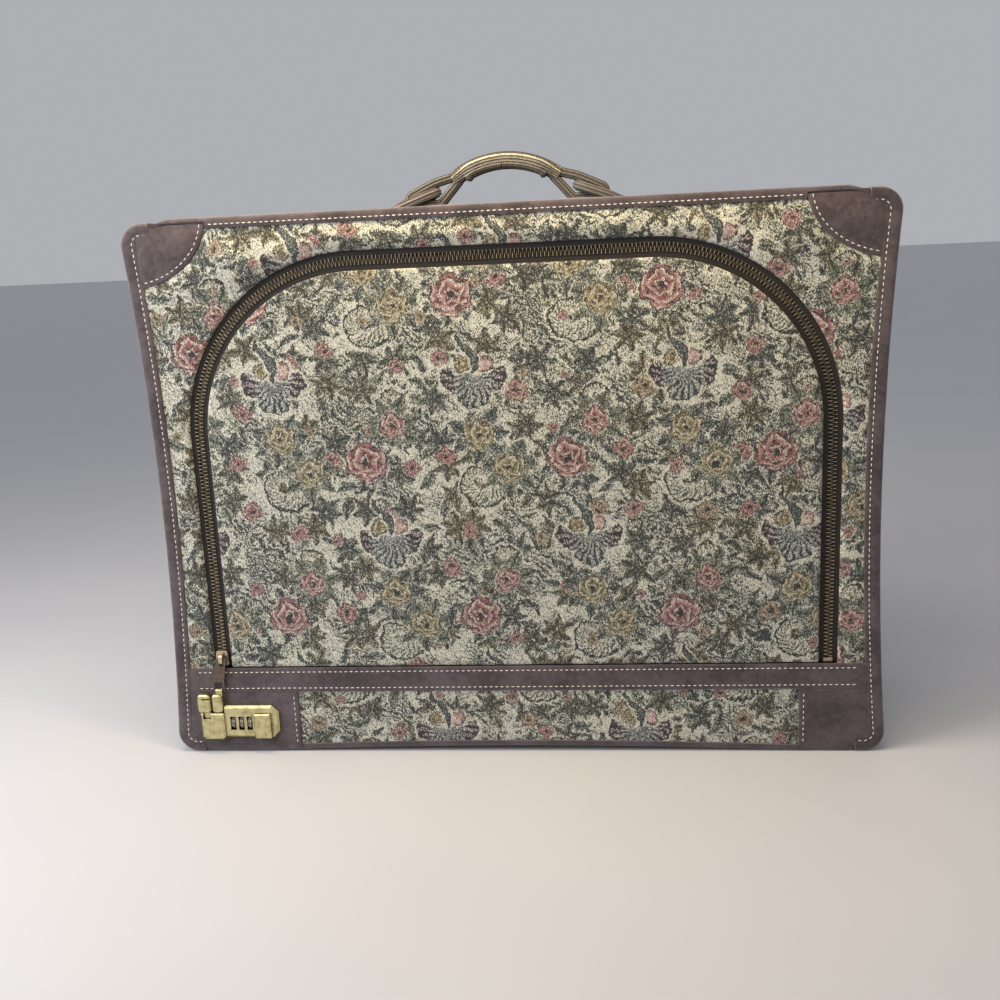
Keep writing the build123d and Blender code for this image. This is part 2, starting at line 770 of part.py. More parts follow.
# Lock plate: bevelled brass face, with the dial chamber cast on its back
plate_front_y = pad_front_y - plate_thickness
pocket_floor_y = plate_front_y + pocket_depth
window_z0 = dial_axis_z - window_half_height
window_z1 = dial_axis_z + window_half_height
with BuildPart() as lock_plate:
    with BuildSketch(at_y(pad_front_y)):
        add(block(plate_left, plate_right, plate_bottom, plate_top))
    extrude(amount=plate_thickness)
    chamfer(lock_plate.edges().filter_by(Axis.Y).group_by(Axis.X)[-1], plate_corner)
    bevel = lock_plate.faces().sort_by(Axis.Y)[0].edges()
    chamfer(bevel.filter_by(lambda e: e.center().X > plate_left + 1), plate_bevel)
    with BuildSketch(at_y(board_back_y)):
        wall = chamber_wall
        add(block(chamber_left - wall, chamber_right + wall, chamber_z0 - wall, chamber_z1 + wall))
        add(block(chamber_left, chamber_right, chamber_z0, chamber_z1), mode=Mode.SUBTRACT)
    extrude(amount=board_back_y - pad_front_y)
    with BuildSketch(at_y(pad_front_y)):
        for index in range(dial_count):
            x = dial_first_x + index * dial_pitch
            half = dial_width / 2 + dial_side_clearance
            add(block(x - half, x + half, window_z0, window_z1))
    extrude(amount=plate_thickness, mode=Mode.SUBTRACT)
    with BuildSketch(at_y(pocket_floor_y)):
        pocket_left = button_left - pocket_clearance
        pocket_right = button_left + button_width + button_travel + pocket_clearance
        add(block(pocket_left, pocket_right, 0, button_top + pocket_clearance))
    extrude(amount=plate_thickness, mode=Mode.SUBTRACT)
    stem_x = button_left + button_width / 2
    stem_z = dial_axis_z
    with BuildSketch(at_y(pocket_floor_y + stem_length)):
        stem_left = stem_x - stem_width / 2 - pocket_clearance
        stem_right = stem_x + stem_width / 2 + button_travel + pocket_clearance
        half = stem_height / 2 + pocket_clearance
        add(block(stem_left, stem_right, stem_z - half, stem_z + half))
    extrude(amount=stem_length, mode=Mode.SUBTRACT)
    with BuildSketch(Plane.YZ.offset(chamber_left - chamber_wall)):
        with Locations((dial_axis_y, dial_axis_z)):
            Circle(shaft_radius + shaft_clearance)
    extrude(amount=chamber_right - chamber_left + 2 * chamber_wall, mode=Mode.SUBTRACT)
    with BuildSketch(at_y(pad_front_y)):
        with Locations(*screw_places[1:]):
            Circle(screw_radius + shaft_clearance)
    extrude(amount=screw_depth, mode=Mode.SUBTRACT)
finish(lock_plate.part, "lock_plate")

# Dials and their shaft
for index in range(dial_count):
    with BuildPart() as dial:
        dial_x = dial_first_x + index * dial_pitch - dial_width / 2
        with BuildSketch(Plane.YZ.offset(dial_x)):
            with Locations((dial_axis_y, dial_axis_z)):
                RegularPolygon(dial_radius, dial_flat_count)
                Circle(shaft_radius + shaft_clearance, mode=Mode.SUBTRACT)
        extrude(amount=dial_width)
    finish(dial.part, f"dial_{index + 1}")
with BuildPart() as dial_shaft:
    with BuildSketch(Plane.YZ.offset(chamber_left - chamber_wall)):
        with Locations((dial_axis_y, dial_axis_z)):
            Circle(shaft_radius)
    extrude(amount=chamber_right - chamber_left + 2 * chamber_wall)
finish(dial_shaft.part, "dial_shaft")

# Release button: slides to the right in its pocket
with BuildPart() as release_button:
    button_back_y = pocket_floor_y - pocket_clearance
    with BuildSketch(at_y(button_back_y)):
        add(block(button_left, button_left + button_width, button_bottom, button_top))
    extrude(amount=button_thickness)
    chamfer(release_button.faces().sort_by(Axis.Y)[0].edges(), edge_break)
    with BuildSketch(at_y(pocket_floor_y + stem_length - pocket_clearance)):
        half = stem_width / 2
        add(block(stem_x - half, stem_x + half, stem_z - stem_height / 2, stem_z + stem_height / 2))
    extrude(amount=stem_length)
finish(release_button.part, "release_button")

# Backing plate and screws that hold the lock from inside
backing_back_y = board_back_y + backing_thickness
backing_left = latch_left + backing_left_inset
backing_right = plate_right - backing_right_inset
backing_bottom = plate_bottom + backing_end_inset
backing_top = plate_top - backing_end_inset
with BuildPart() as lock_backing:
    with BuildSketch(at_y(backing_back_y)):
        add(block(backing_left, backing_right, backing_bottom, backing_top))
        with Locations(*screw_places):
            Circle(screw_radius + shaft_clearance, mode=Mode.SUBTRACT)
    extrude(amount=backing_thickness)
finish(lock_backing.part, "lock_backing_plate")
with BuildPart() as lock_screws:
    with BuildSketch(at_y(backing_back_y + screw_head_thickness)):
        with Locations(*screw_places):
            Circle(screw_head_radius)
    extrude(amount=screw_head_thickness)
    with BuildSketch(at_y(backing_back_y)):
        with Locations(*screw_places):
            Circle(screw_radius)
    extrude(amount=backing_back_y - pad_front_y + screw_depth - shaft_clearance)
finish(lock_screws.part, "lock_screws")

# Clasp: two lobes on one web, a knuckle round the puller's end bar and a tongue for the latch
clasp_back_y = pad_front_y - clasp_back_gap
clasp_front_y = clasp_back_y - clasp_thickness
clasp_slot_z = clasp_top - clasp_slot_drop
left_lobe_right = clasp_left + left_lobe_width
right_lobe_left = left_lobe_right + clasp_groove
knuckle_hole = math.hypot(puller_end_bar / 2, puller_thickness / 2) + knuckle_clearance
knuckle_radius = knuckle_hole + knuckle_wall
with BuildPart() as clasp:
    with BuildSketch(at_y(clasp_back_y)):
        lobe_height = clasp_top - clasp_bottom
        lobe_z = (clasp_top + clasp_bottom) / 2
        with Locations(((clasp_left + left_lobe_right) / 2, lobe_z)):
            RectangleRounded(left_lobe_width, lobe_height, lobe_radius)
        with Locations(((right_lobe_left + clasp_right) / 2, lobe_z)):
            RectangleRounded(clasp_right - right_lobe_left, lobe_height, lobe_radius)
    extrude(amount=clasp_thickness)
    chamfer(clasp.faces().group_by(Axis.Y)[0].edges(), edge_break)
    with BuildSketch(at_y(clasp_back_y)):
        web_left = left_lobe_right - web_overlap
        web_right = right_lobe_left + web_overlap
        add(block(web_left, web_right, clasp_bottom + web_overlap, clasp_top - web_overlap))
    extrude(amount=clasp_web)
    with BuildSketch(at_y(clasp_front_y + clasp_slot_depth)):
        slot_left = left_lobe_right - clasp_slot_length
        add(block(slot_left, left_lobe_right, clasp_slot_z, clasp_slot_z + clasp_slot_height))
    extrude(amount=clasp_slot_depth, mode=Mode.SUBTRACT)
    with BuildSketch(at_y(clasp_back_y - tongue_thickness / 2)):
        tongue_left = notch_left + tongue_clearance
        tongue_right = notch_right - tongue_clearance
        add(block(tongue_left, tongue_right, clasp_bottom - tongue_length, clasp_bottom + lobe_radius))
    extrude(amount=tongue_thickness)
    with BuildSketch(Plane.YZ.offset(puller_end_x - knuckle_half_width)):
        with Locations((puller_pivot_y, end_bar_z)):
            Circle(knuckle_radius)
        neck_bottom = clasp_top - clasp_web
        with Locations((puller_pivot_y, (end_bar_z + neck_bottom) / 2)):
            Rectangle(2 * knuckle_radius, end_bar_z - neck_bottom)
        with Locations((puller_pivot_y, end_bar_z)):
            Circle(knuckle_hole, mode=Mode.SUBTRACT)
    extrude(amount=2 * knuckle_half_width)
finish(clasp.part, "clasp")

# Handle grip: arched, with an upright link at each end
grip_top = case_top + grip_rise
arc_z = grip_top - grip_radius
eye_fork_z = case_top + eye_fork_rise
eye_end_z = case_top + eye_lift + eye_end_radius
eye_foot_z = case_top + eye_lift + eye_foot_radius
eye_hole_foot_z = case_top + eye_lift + eye_strap + eye_hole_radius
inner_radius = grip_radius - grip_thickness
span_angle = math.degrees(math.asin(grip_half_span / (grip_radius - grip_thickness / 2)))


def arch(outer, inner, half_angle):
    """Sector of the handle's arch between two radii."""
    start = 90 - half_angle
    with BuildSketch() as sector:
        with BuildLine():
            top_arc = CenterArc((0, arc_z), outer, start, 2 * half_angle)
            low_arc = CenterArc((0, arc_z), inner, start, 2 * half_angle)
            Line(top_arc @ 0, low_arc @ 0)
            Line(top_arc @ 1, low_arc @ 1)
        make_face()
    return sector.sketch


with BuildPart() as handle:
    with BuildSketch(at_y(mid_y)):
        add(arch(grip_radius, inner_radius, span_angle))
    extrude(amount=grip_width / 2, both=True)
    fillet(handle.edges().filter_by(GeomType.CIRCLE), grip_edge)
    with BuildSketch(Plane.XY.offset(case_top)):
        with BuildLine():
            Polyline(
                (-far, mid_y - eye_width / 2),
                (-grip_half_span, mid_y - eye_width / 2),
                (-grip_shoulder_x, mid_y - grip_width / 2),
                (grip_shoulder_x, mid_y - grip_width / 2),
                (grip_half_span, mid_y - eye_width / 2),
                (far, mid_y - eye_width / 2),
                (far, mid_y + eye_width / 2),
                (grip_half_span, mid_y + eye_width / 2),
                (grip_shoulder_x, mid_y + grip_width / 2),
                (-grip_shoulder_x, mid_y + grip_width / 2),
                (-grip_half_span, mid_y + eye_width / 2),
                (-far, mid_y + eye_width / 2),
                close=True,
            )
        make_face()
    extrude(amount=grip_top, mode=Mode.INTERSECT)
    for side in (-1, 1):
        with BuildSketch(at_y(mid_y)):
            with Locations((side * eye_fork_x, eye_fork_z)):
                Circle(eye_fork_radius)
            with Locations((side * eye_end_x, eye_end_z)):
                Circle(eye_end_radius)
            with Locations((side * eye_foot_x, eye_foot_z)):
                Circle(eye_foot_radius)
            make_hull()
        extrude(amount=eye_width / 2, both=True)
    for side in (-1, 1):
        with BuildSketch(at_y(mid_y)):
            with Locations((side * (eye_fork_x + eye_hole_inset), eye_fork_z - eye_hole_radius)):
                Circle(eye_hole_radius)
            with Locations((side * eye_end_x, eye_end_z)):
                Circle(eye_end_radius - eye_strap)
            with Locations((side * (eye_foot_x + eye_hole_radius), eye_hole_foot_z)):
                Circle(eye_hole_radius)
            make_hull()
        extrude(amount=eye_width / 2, both=True, mode=Mode.SUBTRACT)
finish(handle.part, "handle_grip")

# Underside cover: the strip sewn along the inside of the grip
with BuildPart() as underside:
    cover_angle = math.degrees(math.asin(underside_half_span / inner_radius))
    with BuildSketch(at_y(mid_y)):
        add(arch(inner_radius, inner_radius - underside_thickness, cover_angle))
    extrude(amount=underside_width / 2, both=True)
finish(underside.part, "handle_underside_cover")

# Handle anchors: leather loops threaded through the handle's links, their tails sewn to the top
anchor_top_z = case_top + anchor_rise + anchor_thickness
for side, side_name in ((-1, "left"), (1, "right")):
    with BuildPart() as anchor:
        with BuildSketch(at_y(mid_y)):
            Polygon(
                (side * anchor_tail_x, case_top),
                (side * anchor_bend_x, case_top),
                (side * anchor_inner_x, case_top + anchor_rise),
                (side * (anchor_inner_x + anchor_tip_lean), anchor_top_z),
                (side * (anchor_bend_x + anchor_bend_lean), case_top + anchor_thickness),
                (side * anchor_tail_x, case_top + anchor_thickness),
                align=None,
            )
        extrude(amount=anchor_width / 2, both=True)
        with BuildSketch(Plane.XY.offset(case_top)):
            with Locations((side * (anchor_tail_x + anchor_inner_x) / 2, mid_y)):
                RectangleRounded(anchor_tail_x - anchor_inner_x, anchor_width, anchor_corner)
        extrude(amount=anchor_rise + anchor_thickness, mode=Mode.INTERSECT)
        with BuildSketch(Plane.XY.offset(case_top)):
            hole_length = anchor_hole_outer_x - anchor_hole_inner_x
            with Locations((side * (anchor_hole_outer_x + anchor_hole_inner_x) / 2, mid_y)):
                RectangleRounded(hole_length, eye_width + 2 * link_clearance, anchor_hole_corner)
        extrude(amount=anchor_rise + anchor_thickness, mode=Mode.SUBTRACT)
    finish(anchor.part, f"handle_anchor_{side_name}")
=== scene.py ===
import math
from functools import partial
import bpy
import numpy as np
from mathutils import Matrix, Vector, noise
from mathutils.geometry import delaunay_2d_cdt


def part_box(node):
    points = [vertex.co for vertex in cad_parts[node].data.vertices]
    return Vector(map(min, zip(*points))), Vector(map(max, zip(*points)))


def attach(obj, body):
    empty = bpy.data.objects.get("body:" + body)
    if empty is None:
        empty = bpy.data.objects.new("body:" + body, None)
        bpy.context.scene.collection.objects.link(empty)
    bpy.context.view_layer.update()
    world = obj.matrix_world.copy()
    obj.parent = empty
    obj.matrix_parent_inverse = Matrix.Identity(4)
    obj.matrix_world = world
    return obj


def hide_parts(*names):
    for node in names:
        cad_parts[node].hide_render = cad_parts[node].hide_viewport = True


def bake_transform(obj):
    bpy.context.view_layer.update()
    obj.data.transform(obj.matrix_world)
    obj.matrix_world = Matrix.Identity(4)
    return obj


# Suitcase: suede trim, floral tapestry, horseshoe zip, brass lock and a ribbed handle.
# Lengths are millimetres in the row frame, and become metres where a mesh is made.
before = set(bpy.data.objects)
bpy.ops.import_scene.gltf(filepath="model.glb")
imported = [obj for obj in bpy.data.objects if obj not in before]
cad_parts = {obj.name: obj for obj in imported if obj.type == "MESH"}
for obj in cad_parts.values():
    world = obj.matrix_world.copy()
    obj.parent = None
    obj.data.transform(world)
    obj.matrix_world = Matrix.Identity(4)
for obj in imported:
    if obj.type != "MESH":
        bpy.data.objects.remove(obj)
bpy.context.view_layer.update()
scene = bpy.context.scene
MM = 0.001


def low(node):
    """Lowest corner of a frame node in millimetres."""
    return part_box(node)[0] / MM


def high(node):
    """Highest corner of a frame node in millimetres."""
    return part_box(node)[1] / MM


# Sizes read from the frame
half_corner = high("back_panel").x
base_z = low("back_panel").z
cover_top = high("back_panel").z
case_top = high("top_panel").z
front_y = low("front_border").y
back_y = high("back_panel").y
face_back_y = high("front_border").y
back_face_y = low("back_panel").y
mid_y = (low("frame_hoop").y + high("frame_hoop").y) / 2
pad_front_y = low("hinge_band").y
band_bottom = low("hinge_band").z
band_top = high("hinge_band").z
lock_pad_inner_x = high("front_bottom_left_pad").x
right_pad_inner_x = low("front_bottom_right_pad").x
panel_end_x = high("top_panel").x
lid_bottom = low("lid_panel").z
waist_z = (base_z + cover_top) / 2
half_height = (cover_top - base_z) / 2

# Sizes of the case's make-up
waist_draw_in = 10.0
corner_radius = 16.0
bottom_arch = 5.0
bottom_flat_x = 245.0
zip_reveal = 8.0
zip_corner_radius = 142.0
binding_width = 12.0
binding_wrap = 14.0
corner_pad_length = 72.0
corner_pad_height = 56.0
flap_half_length = half_corner - corner_pad_length
tooth_pitch = 3.2
body_chain_start = 89.0
lid_chain_start = 99.0
right_chain_start = 83.6
stub_top = 98.5
zip_half_width = high("lid_panel").x + zip_reveal
zip_top = high("lid_panel").z + zip_reveal
arc_center_x = zip_half_width - zip_corner_radius
arc_center_z = zip_top - zip_corner_radius


# Node trees
class Value:
    """An output in a node tree, which sums and products can be written with."""

    def __init__(self, graph, socket):
        self.graph = graph
        self.socket = socket

    def __add__(self, other):
        return self.graph.math("ADD", self, other)

    def __sub__(self, other):
        return self.graph.math("SUBTRACT", self, other)

    def __rsub__(self, other):
        return self.graph.math("SUBTRACT", other, self)

    def __mul__(self, other):
        return self.graph.math("MULTIPLY", self, other)

    def __truediv__(self, other):
        return self.graph.math("DIVIDE", self, other)


math_nodes = {"sin": "SINE", "cos": "COSINE", "atan2": "ARCTAN2", "sqrt": "SQRT", "abs": "ABSOLUTE",
              "floor": "FLOOR", "fract": "FRACT", "max": "MAXIMUM", "min": "MINIMUM"}


class Graph:
    """Adds nodes to a tree: each method adds one or two and returns an output."""

    def __init__(self, tree):
        self.tree = tree
        for name, operation in math_nodes.items():
            setattr(self, name, partial(self.math, operation))

    def node(self, kind, **settings):
        made = self.tree.nodes.new(kind)
        for key, value in settings.items():
            setattr(made, key, value)
        return made

    def feed(self, socket, value):
        if isinstance(value, Value):
            self.tree.links.new(value.socket, socket)
        elif isinstance(value, bpy.types.NodeSocket):
            self.tree.links.new(value, socket)
        else:
            socket.default_value = value

    def math(self, operation, *values):
        made = self.node("ShaderNodeMath", operation=operation)
        for socket, value in zip(made.inputs, values):
            self.feed(socket, value)
        return Value(self, made.outputs[0])

    def vector(self, operation, *values):
        made = self.node("ShaderNodeVectorMath", operation=operation)
        for socket, value in zip(made.inputs, values):
            self.feed(socket, value)
        return Value(self, made.outputs[0])

    def dot(self, a, b):
        made = self.vector("DOT_PRODUCT", a, b)
        return Value(self, made.socket.node.outputs["Value"])

    def length(self, value):
        made = self.vector("LENGTH", value)
        return Value(self, made.socket.node.outputs["Value"])

    def between(self, factor, a, b):
        """Vector a where factor is 0 and b where it is 1."""
        made = self.node("ShaderNodeMix", data_type="VECTOR")
        self.feed(made.inputs[0], factor)
        self.feed(made.inputs[4], a)
        self.feed(made.inputs[5], b)
        return Value(self, made.outputs[1])

    def steps(self, number, count, colours):
        """One of several colours, by a whole number."""
        made = self.node("ShaderNodeValToRGB")
        ramp = made.color_ramp
        ramp.interpolation = "CONSTANT"
        while len(ramp.elements) < count:
            ramp.elements.new(1.0)
        for index, colour in enumerate(colours):
            ramp.elements[index].position = index / count
            ramp.elements[index].color = colour
        self.feed(made.inputs[0], (number + 0.5) / count)
        return Value(self, made.outputs[0])

    def parts(self, value):
        made = self.node("ShaderNodeSeparateXYZ")
        self.feed(made.inputs[0], value)
        return [Value(self, out) for out in made.outputs]

    def join(self, x, y, z=0.0):
        made = self.node("ShaderNodeCombineXYZ")
        for socket, value in zip(made.inputs, (x, y, z)):
            self.feed(socket, value)
        return Value(self, made.outputs[0])

    def ramp(self, value, start, end):
        """0 at start, 1 at end, smooth between."""
        made = self.node("ShaderNodeMapRange", interpolation_type="SMOOTHSTEP")
        for socket, number in zip(made.inputs, (value, start, end, 0.0, 1.0)):
            self.feed(socket, number)
        return Value(self, made.outputs[0])

    def mix(self, factor, a, b, blend="MIX"):
        made = self.node("ShaderNodeMix", data_type="RGBA", blend_type=blend)
        self.feed(made.inputs[0], factor)
        self.feed(made.inputs[6], a)
        self.feed(made.inputs[7], b)
        return Value(self, made.outputs[2])

    def noise(self, vector, scale, detail=2.0, roughness=0.5):
        """Noise as (value, colour)."""
        made = self.node("ShaderNodeTexNoise")
        self.feed(made.inputs["Vector"], vector)
        made.inputs["Scale"].default_value = scale
        made.inputs["Detail"].default_value = detail
        made.inputs["Roughness"].default_value = roughness
        return Value(self, made.outputs[0]), Value(self, made.outputs[1])

    def random(self, vector):
        """White noise as (value, colour)."""
        made = self.node("ShaderNodeTexWhiteNoise", noise_dimensions="2D")
        self.feed(made.inputs["Vector"], vector)
        return Value(self, made.outputs[0]), Value(self, made.outputs[1])

    def cells(self, vector, scale, randomness):
        """Nearest cell as (distance, colour, place)."""
        made = self.node("ShaderNodeTexVoronoi", voronoi_dimensions="2D")
        self.feed(made.inputs["Vector"], vector)
        made.inputs["Scale"].default_value = scale
        made.inputs["Randomness"].default_value = randomness
        return [Value(self, made.outputs[i]) for i in range(3)]


def rgb(r, g, b):
    return (r, g, b, 1.0)


def new_material(name):
    """A material with its graph, its shader and the object's coordinates in millimetres."""
    material = bpy.data.materials.new(name)
    material.use_nodes = True
    graph = Graph(material.node_tree)
    shader = material.node_tree.nodes["Principled BSDF"]
    place = graph.node("ShaderNodeTexCoord").outputs["Object"]
    return material, graph, shader, graph.vector("MULTIPLY", place, (1000, 1000, 1000))


def set_shader(shader, **values):
    """Sets the shader's own sockets by name, with _ for a space."""
    for name, value in values.items():
        shader.inputs[name.replace("_", " ")].default_value = value


def bump(graph, shader, height, distance, strength=1.0):
    made = graph.node("ShaderNodeBump")
    made.inputs["Strength"].default_value = strength
    made.inputs["Distance"].default_value = distance * MM
    graph.feed(made.inputs["Height"], height)
    graph.feed(shader.inputs["Normal"], made.outputs[0])


def suede_material():
    """Brushed suede: nap that lies in clouds, a fine fibre grain and a dusty sheen."""
    material, g, shader, place = new_material("suede")
    cloud = g.noise(place, 0.035, 4.0, 0.6)[0]
    nap = g.noise(place, 0.22, 3.0, 0.6)[0]
    fibre = g.noise(place, 2.6, 2.0, 0.7)[0]
    tone = g.ramp(cloud * 0.6 + nap * 0.4, 0.36, 0.64)
    base = g.mix(tone, rgb(0.019, 0.014, 0.016), rgb(0.082, 0.063, 0.070))
    grain = g.ramp(fibre, 0.3, 0.7)
    g.feed(shader.inputs["Base Color"], g.mix(grain * 0.35, base, rgb(0.15, 0.12, 0.127)))
    set_shader(shader, Roughness=0.95, Specular_IOR_Level=0.2, Sheen_Weight=0.7, Sheen_Roughness=0.5,
               Sheen_Tint=rgb(0.86, 0.77, 0.82))
    bump(g, shader, fibre + nap * 0.8, 0.35, 0.7)
    return material


def thread_material():
    """Waxed off-white sewing thread."""
    material, g, shader, place = new_material("thread")
    tone = g.noise(place, 1.2)[0]
    g.feed(shader.inputs["Base Color"], g.mix(tone, rgb(0.55, 0.49, 0.46), rgb(0.78, 0.73, 0.70)))
    set_shader(shader, Roughness=0.7)
    bump(g, shader, g.noise(place, 5.0)[0], 0.1)
    return material


def tape_material():
    """Black twill zip tape with slanting ribs."""
    material, g, shader, place = new_material("zip_tape")
    x, y, z = g.parts(place)
    rib = g.sin((x + z) * 7.0) * 0.5 + 0.5
    weave = g.noise(place, 1.5)[0]
    dark = rgb(0.011, 0.009, 0.008)
    g.feed(shader.inputs["Base Color"], g.mix(rib * weave, dark, rgb(0.045, 0.036, 0.030)))
    set_shader(shader, Roughness=0.85, Sheen_Weight=0.1)
    bump(g, shader, rib, 0.15)
    return material


def metal_material(name, bright, dull, roughness, wear):
    """Worn metal: dull patches and specks over a brighter coat, with painted shade that darkens its corners.
    """
    material, g, shader, place = new_material(name)
    patch = g.noise(place, 0.16, 3.0, 0.6)[0]
    speck = g.noise(place, 1.7, 3.0, 0.7)[0]
    worn = g.ramp(patch * 0.45 + speck * 0.55, 0.60 - wear, 0.66)
    # Painted shade: an ambient-occlusion mask darkens the coat in corners, gaps and recesses between parts.
    corners = g.node("ShaderNodeAmbientOcclusion", samples=4)
    corners.inputs["Distance"].default_value = 2.5 * MM
    unshaded_share = g.ramp(Value(g, corners.outputs["AO"]), 0.35, 0.85)
    coat = g.mix(worn, bright, dull)
    g.feed(shader.inputs["Base Color"], g.mix(unshaded_share, g.mix(0.8, coat, rgb(0.03, 0.022, 0.015)), coat))
    set_shader(shader, Metallic=1.0)
    g.feed(shader.inputs["Roughness"], g.ramp(speck, 0.1, 0.9) * 0.22 + roughness)
    bump(g, shader, speck, 0.05, 0.6)
    return material


def plain_material(name, light, dark, scale, roughness, relief):
    """Matt board or cloth with a soft variation and a fine grain."""
    material, g, shader, place = new_material(name)
    tone = g.noise(place, scale, 3.0)[0]
    fine = g.noise(place, scale * 12, 2.0)[0]
    g.feed(shader.inputs["Base Color"], g.mix(tone * 0.6 + fine * 0.4, dark, light))
    set_shader(shader, Roughness=roughness)
    bump(g, shader, fine, relief)
    return material


def lining_material():
    """Plain woven lining cloth."""
    material, g, shader, place = new_material("lining")
    x, y, z = g.parts(place)
    weave = g.sin((x + y) * 5.5) * g.sin(z * 5.5)
    tone = g.noise(place, 0.03, 3.0)[0]
    base = g.mix(tone, rgb(0.15, 0.125, 0.105), rgb(0.25, 0.215, 0.185))
    g.feed(shader.inputs["Base Color"], g.mix(weave * 0.2 + 0.2, base, rgb(0.10, 0.08, 0.07)))
    set_shader(shader, Roughness=0.8, Sheen_Weight=0.2)
    bump(g, shader, weave, 0.12)
    return material


def rib_material():
    """Handle covering: ribbed cloth-like leather, each rib in its own stripe of the cover's colours, and
    painted shade darkening the grooves between the ribs.
    """
    material, g, shader, place = new_material("handle_cover")
    rib = Value(g, g.node("ShaderNodeAttribute", attribute_name="rib").outputs["Fac"])
    stripe = g.random(g.join(g.floor(rib), 7.0))[0]
    base = g.mix(g.ramp(stripe, 0.25, 0.3), rgb(0.105, 0.097, 0.090), rgb(0.20, 0.185, 0.165))
    base = g.mix(g.ramp(stripe, 0.52, 0.56), base, rgb(0.21, 0.160, 0.170))
    base = g.mix(g.ramp(stripe, 0.74, 0.78), base, rgb(0.50, 0.46, 0.36))
    grain = g.noise(place, 1.6, 3.0, 0.65)[0]
    wear = g.noise(place, 0.10, 3.0)[0]
    base = g.mix(g.ramp(wear, 0.45, 0.7) * 0.4, base, rgb(0.12, 0.095, 0.085))
    base = g.mix(g.ramp(grain, 0.5, 0.75) * 0.45, base, rgb(0.42, 0.38, 0.32))
    # Painted shade: the colour is darkened along the grooves between the ribs.
    groove_shade = g.abs(g.fract(rib) - 0.5)
    g.feed(shader.inputs["Base Color"], g.mix(g.ramp(groove_shade, 0.28, 0.46), base, rgb(0.018, 0.015, 0.015)))
    set_shader(shader, Roughness=0.75)
    bump(g, shader, grain, 0.3)
    return material


# Tapestry: threads in cells, each cream, coloured or dark as the motifs under it say
repeat_width = 168.0
repeat_height = 135.0
lean = 78.0 / repeat_height
thread_width = 0.55
thread_length = 0.95
cream = rgb(0.56, 0.55, 0.48)
shade = rgb(0.028, 0.031, 0.031)
sage = rgb(0.128, 0.145, 0.115)
slate = rgb(0.078, 0.095, 0.098)
olive = rgb(0.155, 0.135, 0.080)
rose = rgb(0.255, 0.110, 0.115)
blush = rgb(0.42, 0.27, 0.26)
ochre = rgb(0.215, 0.170, 0.092)
straw = rgb(0.39, 0.35, 0.24)
plum = rgb(0.100, 0.064, 0.088)


